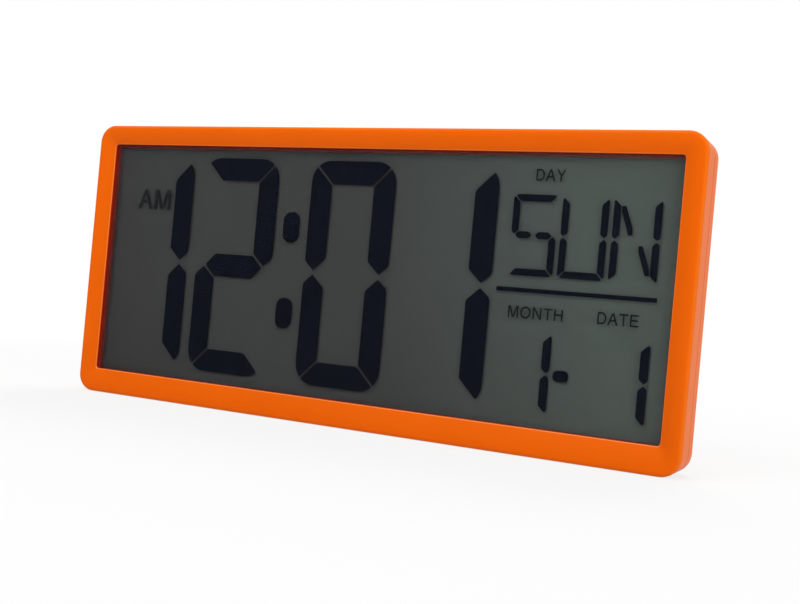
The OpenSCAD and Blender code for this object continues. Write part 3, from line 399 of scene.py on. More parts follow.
def film_lip_shade(tree, coords):
    """How much of the lip's painted shadow lies on each face of the film: most at the window's edge, wider at
    the left.
    """
    s = sizes()
    place = add_node(tree, "ShaderNodeSeparateXYZ", None, Vector=coords).outputs
    edges = ((place["X"], s.side_border - HALF_W, s.lip_shade_left),
             (place["X"], HALF_W - s.side_border, -s.lip_shade_thin),
             (place["Z"], HEIGHT - s.top_border, -s.lip_shade_top),
             (place["Z"], s.bottom_border, s.lip_shade_thin))
    clear = None
    for value, edge, width in edges:
        inside = spread(tree, value, edge, edge + width, FILM_EDGE, 1.0)
        clear = calculate(tree, "MINIMUM", clear, inside) if clear else inside
    return calculate(tree, "SUBTRACT", 1.0, calculate(tree, "SQRT", clear))


def film_look(tree, coords):
    """Colour and alpha of the front polariser, which hides more towards the window's edge, where the lip's
    shadow and its reddish light are painted.
    """
    near = film_lip_shade(tree, coords)
    alpha = spread(tree, near, 0.0, 1.0, FILM_ALPHA, 1.0)
    share_of_lip_shade = calculate(tree, "DIVIDE", near, alpha)
    return mixed_colour(tree, share_of_lip_shade, colours().film, colours().border), alpha


def across_display(tree, coords):
    """Colour of the reflector, which looks paler towards the upper right."""
    slope = Vector((1 / (2 * HALF_W), 0.0, 0.1 / HEIGHT))
    dot = add_node(tree, "ShaderNodeVectorMath", {"operation": "DOT_PRODUCT"})
    wire(tree, coords, dot.inputs[0])
    dot.inputs[1].default_value = slope
    along = spread(tree, dot.outputs["Value"], -0.47, 0.57, 0.0, 1.0)
    ramp = add_node(tree, "ShaderNodeValToRGB", None, Fac=along)
    stops = ramp.color_ramp.elements
    stops[0].color = opaque(colours().dim)
    stops[1].position, stops[1].color = 0.85, opaque(colours().pale)
    for place in (0.25, 0.52):
        stops.new(place).color = opaque(colours().middle)
    return ramp.outputs["Color"]


def board_tracks(tree, coords):
    """Solder mask with copper tracks showing faintly through it."""
    turn = add_node(tree, "ShaderNodeMapping", None, Vector=coords, Rotation=(math.radians(90), 0, 0))
    lines = add_node(tree, "ShaderNodeTexBrick", {"offset": 0.37, "squash": 1.6, "squash_frequency": 3},
                     Vector=turn.outputs["Vector"], Scale=90.0, Mortar_Size=0.03, Mortar_Smooth=0.1, Bias=0.0,
                     Brick_Width=0.9, Row_Height=0.14)
    patch = spread(tree, noise(tree, coords, 55.0), 0.47, 0.53, 0.0, 1.0)
    mask = calculate(tree, "MULTIPLY", lines.outputs["Fac"], patch)
    return mixed_colour(tree, mask, colours().board, colours().trace)


def strip_layers(tree, coords):
    """Thin conducting layers across the rubber strip."""
    wave = add_node(tree, "ShaderNodeTexWave", {"bands_direction": "X"}, Vector=coords, Scale=900.0)
    ramp = add_node(tree, "ShaderNodeValToRGB", None, Fac=wave.outputs["Fac"])
    for stop, colour in zip(ramp.color_ramp.elements, (colours().core, colours().between)):
        stop.color = opaque(colour)
    return ramp.outputs["Color"]


# Colour, grain, smoothest and dullest roughness, drift of shade, relief of the grain, and specular level
MOULDED = {
    # orange_case takes the painted sheen of its rim and sides through case_colour
    "orange_case": (case_colour, 1900.0, 0.36, 0.44, 0.03, 0.05, 0.055),
    # Painted highlight on the window's rounded edge
    "orange_edge": ("edge", 1900.0, 0.3, 0.36, 0.03, 0.03, 0.4),
    # Painted shade in the window's deep lip
    "orange_lip": ("lip", 1900.0, 0.4, 0.5, 0.03, 0.05, 0.2),
    "dark_plastic": ("dark", 2600.0, 0.38, 0.55, 0.15, 0.12),
    "display_ink": ("ink", 2600.0, 0.55, 0.6, 0.1, 0.0, 0.1),
    "legend_ink": ("legend", 2600.0, 0.55, 0.6, 0.1, 0.0, 0.1),
    "morning_ink": ("morning", 2600.0, 0.55, 0.6, 0.1, 0.0, 0.1),
    "reflector": (across_display, 3500.0, 0.6, 0.65, 0.03, 0.02, 0.1),
    "seal": ("seal", 900.0, 0.3, 0.6, 0.2, 0.1),
    "foam": ("foam", 5200.0, 0.85, 1.0, 0.3, 0.8, 0.15),
    "pink_rubber": ("strip", 2400.0, 0.55, 0.75, 0.1, 0.15, 0.3),
    "layered_core": (strip_layers, 2400.0, 0.5, 0.7, 0.1, 0.1, 0.3),
    "black_rubber": ("rubber", 3200.0, 0.65, 0.85, 0.2, 0.3, 0.25),
    "white_plastic": ("white", 2200.0, 0.35, 0.5, 0.06, 0.08),
    "panel_ink": ("white", 3800.0, 0.5, 0.7, 0.1, 0.1, 0.3),
    "board_green": (board_tracks, 1500.0, 0.22, 0.34, 0.08, 0.05),
    "tan_parts": ("parts", 1800.0, 0.3, 0.5, 0.25, 0.1),
    "cell_wrap": ("wrap", 1200.0, 0.18, 0.3, 0.15, 0.03),
    "grey_ribbon": ("ribbon", 1500.0, 0.32, 0.46, 0.08, 0.05),
    "red_wire": ("red", 1500.0, 0.28, 0.42, 0.1, 0.05),
    "black_wire": ("black", 1500.0, 0.28, 0.42, 0.2, 0.05),
}
# Colour, stretch of the streaks, and smoothest and dullest roughness
METALS = {
    "bright_steel": ("steel", (500.0, 3500.0, 3500.0), 0.18, 0.38),
    "cell_band": ("band", (300.0, 2500.0, 2500.0), 0.22, 0.34),
}
# Look, smoothest and dullest roughness, and specular level
CLEAR_SHEETS = {
    "polariser": (film_look, 0.27, 0.3, 0.6),
    "display_glass": (glass_look, 0.05, 0.07, 0.05),
}
FINISHES = {name: (maker, values)
            for maker, table in ((moulded, MOULDED), (metal, METALS), (clear_sheet, CLEAR_SHEETS))
            for name, values in table.items()}


def finish(name):
    """The material of a finish, made the first time that it is asked for."""
    label = "clock_" + name
    maker, values = FINISHES[name]
    return bpy.data.materials.get(label) or maker(label, *values)


# Meshes

def add_object(name, data):
    """A new object in the scene that holds a mesh, a curve, a light or a camera."""
    thing = bpy.data.objects.new(name, data)
    bpy.context.scene.collection.objects.link(thing)
    return thing


def settled(holder):
    """The plain mesh that an object comes to; the object itself is removed."""
    depsgraph = bpy.context.evaluated_depsgraph_get()
    mesh = bpy.data.meshes.new_from_object(holder.evaluated_get(depsgraph))
    bpy.data.objects.remove(holder)
    return mesh


def mark_sharp(mesh, degrees):
    """Smooth faces, with sharp edges where two of them meet at more than an angle."""
    mesh.shade_smooth()
    bm = bmesh.new()
    bm.from_mesh(mesh)
    for edge in bm.edges:
        edge.smooth = edge.calc_face_angle(0) < math.radians(degrees)
    bm.to_mesh(mesh)
    bm.free()


def outline_inset(x, z):
    """How far a point, seen from the front, lies inside the rounded outline of the case."""
    radius = sizes().corner_radius
    across = max(0, abs(x) - HALF_W + radius)
    up = max(0, abs(z - HEIGHT / 2) - HEIGHT / 2 + radius)
    return radius - math.hypot(across, up)


def mark_painted_sheen(mesh):
    """Keeps on each face corner how far the outer skin of the case turns to the side there, which sets its
    painted sheen.
    """
    skin = SHEEN_SKIN * sizes().front_edge
    side = mesh.attributes.new(SHEEN_ATTRIBUTE, "FLOAT", "CORNER")
    for corner, loop, normal in zip(side.data, mesh.loops, mesh.corner_normals):
        spot = mesh.vertices[loop.vertex_index].co
        turned = (SHEEN_START - abs(normal.vector.y)) / (SHEEN_START - SHEEN_FULL)
        corner.value = min(1, max(0, turned)) if outline_inset(spot.x, spot.z) < skin else 0


def set_piece(name, mesh, body, finishes, replaces=(), sharp=32, weighted=True):
    """Makes a mesh a piece of the clock that rides on a body."""
    mesh.name = name
    for index, entry in enumerate(finishes):
        if index < len(mesh.materials):
            mesh.materials[index] = finish(entry)
        else:
            mesh.materials.append(finish(entry))
    mark_sharp(mesh, sharp)
    # The outer case skin gets the painted sheen on its rim and sides
    if "orange_case" in finishes:
        mark_painted_sheen(mesh)
    piece = add_object(name, mesh)
    if weighted:
        even = piece.modifiers.new("flat_faces", "WEIGHTED_NORMAL")
        even.keep_sharp = True
        even.weight = 80
    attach(piece, body)
    if replaces:
        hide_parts(*replaces)
    return piece


def mesh_of(bm, recalc=True):
    """A plain mesh from a bmesh, with its faces outwards."""
    if recalc:
        bmesh.ops.recalc_face_normals(bm, faces=bm.faces)
    mesh = bpy.data.meshes.new("piece")
    bm.to_mesh(mesh)
    bm.free()
    return mesh


def loft(bm, rings, closed=False, capped=True, finish_at=None):
    """Skins rings of equal count; finish_at gives the material index of each strip."""
    loops = [[bm.verts.new(p) for p in ring] for ring in rings]
    pairs = list(zip(loops, loops[1:]))
    if closed:
        pairs.append((loops[-1], loops[0]))
    count = len(loops[0])
    for strip, (a, b) in enumerate(pairs):
        for k in range(count):
            n = (k + 1) % count
            face = bm.faces.new((a[k], a[n], b[n], b[k]))
            face.material_index = finish_at(strip) if finish_at else 0
    if capped and not closed:
        bm.faces.new(loops[0]).material_index = finish_at(0) if finish_at else 0
        bm.faces.new(loops[-1]).material_index = finish_at(len(pairs) - 1) if finish_at else 0


def frame_ring(left, right, low, high, radius, y, steps=CORNER_STEPS):
    """A rounded rectangle in a plane of constant Y."""
    corners = ((right - radius, high - radius, 0), (left + radius, high - radius, 90),
               (left + radius, low + radius, 180), (right - radius, low + radius, 270))
    return [Vector((x + radius * math.cos(a), y, z + radius * math.sin(a)))
            for x, z, start in corners
            for a in (math.radians(start + 90 * k / steps) for k in range(steps + 1))]


def inset_ring(low, high, inset, radius, y, steps):
    """A rounded rectangle that lies an inset inside a box, in a plane of constant Y."""
    return frame_ring(low.x + inset, high.x - inset, low.z + inset, high.z - inset, radius, y, steps)


def disc_ring(x, z, radius, y, count=24):
    """A circle in a plane of constant Y."""
    return [Vector((x + radius * math.cos(a), y, z + radius * math.sin(a)))
            for a in (2 * math.pi * k / count for k in range(count))]


def node_copy(node):
    """A bmesh of a CAD node with its loose triangles joined."""
    bm = bmesh.new()
    bm.from_mesh(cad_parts[node].data)
    bmesh.ops.remove_doubles(bm, verts=bm.verts, dist=WELD)
    return bm


def islands(node):
    """The boxes of a CAD node's separate solids, as (low, high)."""
    bm = node_copy(node)
    boxes = []
    left = set(bm.verts)
    while left:
        start = left.pop()
        found, front = [start], [start]
        while front:
            vert = front.pop()
            for edge in vert.link_edges:
                other = edge.other_vert(vert)
                if other in left:
                    left.remove(other)
                    found.append(other)
                    front.append(other)
        low = Vector([min(v.co[k] for v in found) for k in range(3)])
        high = Vector([max(v.co[k] for v in found) for k in range(3)])
        boxes.append((low, high))
    bm.free()
    return sorted(boxes, key=lambda b: tuple(round(c, 6) for c in b[0]))


def on_plane(y):
    """A test of whether a point lies in a plane of constant Y."""
    return lambda point: abs(point.y - y) < HAIR


def softened(node, passes, least_angle=40):
    """A copy of a CAD node with chosen outer edges rounded; passes are (width, steps, test of a point)."""
    bm = node_copy(node)
    bmesh.ops.dissolve_limit(bm, angle_limit=FLAT_ANGLE, verts=bm.verts, edges=bm.edges)
    for width, steps, chosen in passes:
        edges = [e for e in bm.edges
                 if len(e.link_faces) == 2 and e.is_convex
                 and e.calc_face_angle() > math.radians(least_angle)
                 and all(chosen(v.co) for v in e.verts)]
        bmesh.ops.bevel(bm, geom=edges, offset=width, offset_type="OFFSET", segments=steps,
                        profile=0.5, affect="EDGES", clamp_overlap=True)
    bmesh.ops.remove_doubles(bm, verts=bm.verts, dist=WELD)
    return mesh_of(bm, recalc=False)


def soft_faced(node):
    """A copy of a CAD node with the edges of its outermost face rounded."""
    return softened(node, [(sizes().soft_edge, SOFT_STEPS, on_plane(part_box(node)[1].y))])


# Geometry Nodes trees for screws and for what follows a path

def new_tree(name, inputs):
    """A Geometry Nodes tree, with its input sockets by name and its first and last nodes."""
    tree = bpy.data.node_groups.new(name, "GeometryNodeTree")
    sockets = {label: tree.interface.new_socket(label, in_out="INPUT", socket_type="NodeSocket" + kind)
               for label, kind in inputs.items()}
    tree.interface.new_socket("Result", in_out="OUTPUT", socket_type="NodeSocketGeometry")
    return tree, sockets, tree.nodes.new("NodeGroupInput").outputs, tree.nodes.new("NodeGroupOutput").inputs


def end_tree(tree, geometry, material, out):
    """Ends a tree in Realize Instances and Set Material."""
    real = tree.nodes.new("GeometryNodeRealizeInstances")
    paint = tree.nodes.new("GeometryNodeSetMaterial")
    tree.links.new(geometry, real.inputs["Geometry"])
    tree.links.new(real.outputs["Geometry"], paint.inputs["Geometry"])
    tree.links.new(material, paint.inputs["Material"])
    tree.links.new(paint.outputs["Geometry"], out["Result"])


def screw_rows():
    """One screw on each point, each with its recess turned by its own angle."""
    tree, sockets, given, out = new_tree("screw_rows", {
        "Places": "Geometry", "Screw": "Object", "Lean": "Float", "Seed": "Int", "Finish": "Material"})
    info = add_node(tree, "GeometryNodeObjectInfo", {"transform_space": "ORIGINAL"}, Object=given["Screw"])
    angle = add_node(tree, "FunctionNodeRandomValue", {"data_type": "FLOAT"})
    angle.inputs[2].default_value = 0.0
    angle.inputs[3].default_value = math.pi
    tree.links.new(given["Seed"], angle.inputs["Seed"])
    spin = add_node(tree, "ShaderNodeCombineXYZ", None, X=given["Lean"])
    roll = add_node(tree, "ShaderNodeCombineXYZ", None, Z=angle.outputs[1])
    upright = add_node(tree, "FunctionNodeEulerToRotation", None, Euler=spin.outputs[0])
    rolled = add_node(tree, "FunctionNodeEulerToRotation", None, Euler=roll.outputs[0])
    turn = add_node(tree, "FunctionNodeRotateRotation", {"rotation_space": "LOCAL"},
                    Rotation=upright.outputs[0], Rotate_By=rolled.outputs[0])
    rows = add_node(tree, "GeometryNodeInstanceOnPoints", None, Points=given["Places"],
                    Instance=info.outputs["Geometry"], Rotation=turn.outputs[0])
    end_tree(tree, rows.outputs["Instances"], given["Finish"], out)
    return tree, sockets


def swept_round():
    """A round bar along each path, closed at its ends."""
    tree, sockets, given, out = new_tree("swept_round", {
        "Path": "Geometry", "Radius": "Float", "Sides": "Int", "Finish": "Material"})
    curve = add_node(tree, "GeometryNodeMeshToCurve", None, Mesh=given["Path"])
    profile = add_node(tree, "GeometryNodeCurvePrimitiveCircle", None, Resolution=given["Sides"],
                       Radius=given["Radius"])
    bar = add_node(tree, "GeometryNodeCurveToMesh", None, Curve=curve.outputs["Curve"],
                   Profile_Curve=profile.outputs["Curve"], Fill_Caps=True)
    end_tree(tree, bar.outputs["Mesh"], given["Finish"], out)
    return tree, sockets


def grown(mesh, tree, sockets, values):
    """The plain mesh that a tree makes from a mesh, with its inputs set by identifier."""
    holder = add_object("grown", mesh)
    modifier = holder.modifiers.new("tree", "NODES")
    modifier.node_group = tree
    for label, value in values.items():
        modifier[sockets[label].identifier] = value
    made = settled(holder)
    bm = bmesh.new()
    bm.from_mesh(made)
    bpy.data.meshes.remove(made)
    return mesh_of(bm)


def path_mesh(paths):
    """A mesh of plain edges along each list of points."""
    bm = bmesh.new()
    for points in paths:
        verts = [bm.verts.new(p) for p in points]
        for a, b in zip(verts, verts[1:]):
            bm.edges.new((a, b))
    return mesh_of(bm, recalc=False)


def smooth_route(points, steps=8):
    """A smooth curve through the points."""
    ends = [points[0] * 2 - points[1]] + list(points) + [points[-1] * 2 - points[-2]]
    route = []
    for a, b, c, d in zip(ends, ends[1:], ends[2:], ends[3:]):
        for k in range(steps):
            u = k / steps
            route.append(0.5 * (2 * b + (c - a) * u + (2 * a - 5 * b + 4 * c - d) * u ** 2
                                + (3 * b - a - 3 * c + d) * u ** 3))
    route.append(points[-1])
    return route


# Points round a screw and up its rounded head, and corners of its recess
SCREW_SIDES = 24
CROWN_STEPS = 6
RECESS_CORNERS = 12


def screw_mesh(head_r, head_h, shank_r, reach):
    """A pan-head cross-recess screw along Z, seated at nought, with ridges for its thread."""
    # Shares of the screw's own sizes: thread, top of the head, and the recess
    pitch = 0.7 * shank_r
    root = 0.82 * shank_r
    crown = 0.66 * head_r
    brim = 0.45 * head_h
    arm = 0.5 * head_r
    half = 0.12 * head_r
    bm = bmesh.new()

    def ring(radius, z):
        return [Vector((radius * math.cos(a), radius * math.sin(a), z))
                for a in (2 * math.pi * k / SCREW_SIDES for k in range(SCREW_SIDES))]

    def cross(scale, z):
        turns = [Matrix.Rotation(math.radians(90 * k), 4, "Z") for k in range(4)]
        return [bm.verts.new(turn @ Vector((u * scale, v * scale, z)))
                for turn in turns for u, v in ((arm, -half), (arm, half), (half, half))]

    rings = [ring(0.35 * shank_r, -reach), ring(0.8 * shank_r, -reach + shank_r)]
    for k in range(int((reach - 2 * shank_r) / pitch)):
        low = -reach + 1.2 * shank_r + k * pitch
        rings += [ring(root, low), ring(shank_r, low + 0.4 * pitch), ring(shank_r, low + 0.55 * pitch)]
    rings += [ring(root, -0.05 * reach), ring(root, 0)]
    rings += [ring(0.97 * head_r, 0), ring(head_r, 0.06 * head_h), ring(head_r, brim)]
    for k in range(1, CROWN_STEPS):
        a = math.radians(90 * k / CROWN_STEPS)
        rings.append(ring(crown + (head_r - crown) * math.cos(a), brim + (head_h - brim) * math.sin(a)))
    rings.append(ring(crown, head_h))
    loft(bm, rings, capped=False)
    bm.verts.ensure_lookup_table()
    top = bm.verts[-SCREW_SIDES:]
    bm.faces.new(bm.verts[:SCREW_SIDES])
    mouth = cross(1.0, head_h)
    floor = cross(0.7, 0.4 * head_h)
    for k in range(4):
        # One face before an arm of the cross, and one between it and the next arm
        bm.faces.new([top[6 * k - 1], top[6 * k], top[6 * k + 1], mouth[3 * k + 1], mouth[3 * k]])
        bm.faces.new([top[(6 * k + n) % SCREW_SIDES] for n in range(1, 6)]
                     + [mouth[(3 * k + 3) % RECESS_CORNERS], mouth[3 * k + 2], mouth[3 * k + 1]])
    for k in range(RECESS_CORNERS):
        n = (k + 1) % RECESS_CORNERS
        bm.faces.new((mouth[k], mouth[n], floor[n], floor[k]))
    bm.faces.new(floor)
    return mesh_of(bm)


# Letters

def bow(x, z, across, up, start, stop, steps=10):
    """Points on an elliptical arc between two angles in degrees."""
    turns = [math.radians(start + (stop - start) * k / steps) for k in range(steps + 1)]
    return [(x + across * math.cos(a), z + up * math.sin(a)) for a in turns]


def capital(letter, t):
    """Outlines of a plain upright capital, one high, with strokes t wide; a second outline is its hole."""
    # Middle of E, F, H and S
    middle = 0.52
    over, under = middle + t / 2, middle - t / 2
    # Slope and foot of the legs of A, and the height of its bar
    lean, foot, bar = 0.4, 1.08 * t, 0.3
    # Heights of the two bows of S, and half of what each of them spans
    top, base = (1 - t / 2 + middle) / 2, (t / 2 + middle) / 2
    curl, sag = (1 - t / 2 - middle) / 2, (middle - t / 2) / 2
    shapes = {
        "A": (((0, 0), (lean, 1), (0.94 - lean, 1), (0.94, 0), (0.94 - foot, 0),
               (0.94 - foot - lean * bar, bar), (foot + lean * bar, bar), (foot, 0)),
              ((foot + lean * (bar + t), bar + t), (0.94 - foot - lean * (bar + t), bar + t),
               (0.47, (0.47 - foot) / lean))),
        "D": (((0, 0), (0, 1), *bow(0.37, 0.5, 0.46, 0.5, 90, -90)),
              ((t, t), (t, 1 - t), *bow(0.37, 0.5, 0.46 - t, 0.5 - t, 90, -90))),
        "E": (((0, 0), (0, 1), (0.74, 1), (0.74, 1 - t), (t, 1 - t), (t, over), (0.7, over), (0.7, under),
               (t, under), (t, t), (0.76, t), (0.76, 0)),),
        "F": (((0, 0), (0, 1), (0.68, 1), (0.68, 1 - t), (t, 1 - t), (t, over), (0.58, over), (0.58, under),
               (t, under), (t, 0)),),
        "H": (((0, 0), (0, 1), (t, 1), (t, over), (0.78 - t, over), (0.78 - t, 1), (0.78, 1), (0.78, 0),
               (0.78 - t, 0), (0.78 - t, under), (t, under), (t, 0)),),
        "L": (((0, 0), (0, 1), (t, 1), (t, t), (0.63, t), (0.63, 0)),),
        "M": (((0, 0), (0, 1), (1.55 * t, 1), (0.475, 0.17), (0.95 - 1.55 * t, 1), (0.95, 1), (0.95, 0),
               (0.95 - t, 0), (0.95 - t, 0.84), (0.475 + t / 2, 0), (0.475 - t / 2, 0), (t, 0.84), (t, 0)),),
        "N": (((0, 0), (0, 1), (1.06 * t, 1), (0.79 - t, 0.215), (0.79 - t, 1), (0.79, 1), (0.79, 0),
               (0.79 - 1.06 * t, 0), (t, 0.785), (t, 0)),),
        "O": (bow(0.48, 0.5, 0.48, 0.515, 0, 350, 35), bow(0.48, 0.5, 0.48 - t, 0.515 - t, 0, 350, 35)),
        "P": (((0, 0), (0, 1), *bow(0.46, 0.78, 0.3, 0.22, 90, -90), (t, 0.56), (t, 0)),
              ((t, 0.56 + t), (t, 1 - t), *bow(0.46, 0.78, 0.3 - t, 0.22 - t, 90, -90))),
        "R": (((0, 0), (0, 1), *bow(0.48, 0.72, 0.3, 0.28, 90, -75), (0.86, 0), (0.7, 0), (0.42, 0.44),
               (t, 0.44), (t, 0)),
              ((t, 0.44 + t), (t, 1 - t), *bow(0.48, 0.72, 0.3 - t, 0.28 - t, 90, -90))),
        "S": ((*bow(0.4, top, 0.36, curl + t / 2, 25, 270),
               *bow(0.4, base, 0.38 - t, sag - t / 2, 90, -155),
               *bow(0.4, base, 0.38, sag + t / 2, -155, 90),
               *bow(0.4, top, 0.36 - t, curl - t / 2, 270, 25)),),
        "T": (((0, 1), (0.78, 1), (0.78, 1 - t), (0.39 + t / 2, 0.99 - t), (0.39 + t / 2, 0),
               (0.39 - t / 2, 0), (0.39 - t / 2, 0.99 - t), (0, 1 - t)),),
        "U": (((0, 1), *bow(0.39, 0.39, 0.39, 0.4, 180, 360), (0.78, 1), (0.78 - t, 1),
               *bow(0.39, 0.39, 0.39 - t, 0.4 - t, 360, 180), (t, 1)),),
        "W": (((0, 1), (1.05 * t, 1), (0.345, 0.2), (0.575, 1), (0.715, 1), (0.945, 0.2),
               (1.29 - 1.05 * t, 1), (1.29, 1), (1.01, 0), (0.88, 0), (0.645, 0.8), (0.41, 0), (0.28, 0)),),
        "Y": (((0.455 - t / 2, 0), (0.455 - t / 2, 0.42), (0, 1), (1.22 * t, 1), (0.455, 0.56),
               (0.91 - 1.22 * t, 1), (0.91, 1), (0.455 + t / 2, 0.42), (0.455 + t / 2, 0)),),
    }
    return shapes[letter]


# Room beside a capital, in letter heights: beside a round or slanted side, and beside an upright stroke
LETTER_ROOM = 0.1
STROKE_ROOM = 0.19
UPRIGHT_LEFT = "DEFHLMNPRU"
UPRIGHT_RIGHT = "HMNU"


def word_outlines(word, stroke):
    """Outlines of a whole word one high, from nought to its width, and that width."""
    outlines = []
    pen = 0
    for k, letter in enumerate(word):
        if k:
            pen += STROKE_ROOM if letter in UPRIGHT_LEFT else LETTER_ROOM
        loops = capital(letter, stroke)
        outlines += [[(pen + u, w) for u, w in loop] for loop in loops]
        pen += max(u for u, w in loops[0])
        if k + 1 < len(word):
            pen += STROKE_ROOM - LETTER_ROOM if letter in UPRIGHT_RIGHT else 0
    return outlines, pen


def words_mesh(entries, depth_lo, depth_hi, facing):
    """Words as thin solids. Entries are (word, centre x, low z, width or None, height, stroke)."""
    bm = bmesh.new()
    for word, x, low, width, height, stroke in entries:
        outlines, reach = word_outlines(word, stroke)
        curve = bpy.data.curves.new("word", "CURVE")
        curve.dimensions = "2D"
        curve.fill_mode = "BOTH"
        curve.extrude = 0.5
        for outline in outlines:
            spline = curve.splines.new("POLY")
            spline.points.add(len(outline) - 1)
            for point, (u, w) in zip(spline.points, outline):
                point.co = (u, w, 0, 1)
            spline.use_cyclic_u = True
        mesh = settled(add_object("word", curve))
        wide = width / reach if width else height
        for v in mesh.vertices:
            u, w, e = v.co
            y = depth_lo + (depth_hi - depth_lo) * (0.5 + facing * e)
            v.co = (x - facing * (u - reach / 2) * wide, y, low + w * height)
        bm.from_mesh(mesh)
        bpy.data.meshes.remove(mesh)
    bmesh.ops.remove_doubles(bm, verts=bm.verts, dist=WELD / 2)
    return mesh_of(bm)


# Operators, one for each piece or group of like pieces

class CLOCK_OT_finishes(bpy.types.Operator):
    """Gives every carried-over CAD node its procedural finish"""
    bl_idname = "clock.finishes"
    bl_label = "Finishes of the CAD nodes"

    NODES = {
        "display_ink": ("lcd_time_segments", "lcd_day_segments", "lcd_date_segments"),
        "reflector": ("lcd_reflector",),
        "seal": ("lcd_seal",),
        "dark_plastic": ("tact_switches", "buzzer", "chip_blobs", "alarm_switch_body", "mode_plunger",
                         "set_plunger", "up_plunger", "down_plunger"),
        "white_plastic": ("lcd_holder", "ribbon_headers"),
        "board_green": ("main_board", "button_board"),
        "tan_parts": ("board_parts",),
        "bright_steel": ("quartz_crystal", "bridge_contact", "end_contacts", "stand_pin"),
    }

    def execute(self, context):
        for name, nodes in self.NODES.items():
            for node in nodes:
                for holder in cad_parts[node].material_slots:
                    holder.material = finish(name)
        return {"FINISHED"}


class CLOCK_OT_display_sheets(bpy.types.Operator):
    """Polariser and glass with chamfered edges, each a hair thinner than its room"""
    bl_idname = "clock.display_sheets"
    bl_label = "Display sheets"

    CORNER = 0.4 * MM
    CORNER_POINTS = 4
    # Node, finish and chamfer of each sheet
    SHEETS = (("lcd_front_polariser", "polariser", 0.04 * MM),
              ("lcd_front_glass", "display_glass", 0.15 * MM),
              ("lcd_rear_glass", "display_glass", 0.15 * MM))

    def execute(self, context):
        for node, slot, cut in self.SHEETS:
            low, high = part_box(node)
            near, far = low.y + HAIR, high.y - HAIR
            rings = [inset_ring(low, high, inset, self.CORNER, y, self.CORNER_POINTS)
                     for inset, y in ((cut, near), (0, near + cut), (0, far - cut), (cut, far))]
            bm = bmesh.new()
            loft(bm, rings)
            set_piece(node + "_sheet", mesh_of(bm), "case", (slot,), (node,), weighted=False)
        return {"FINISHED"}


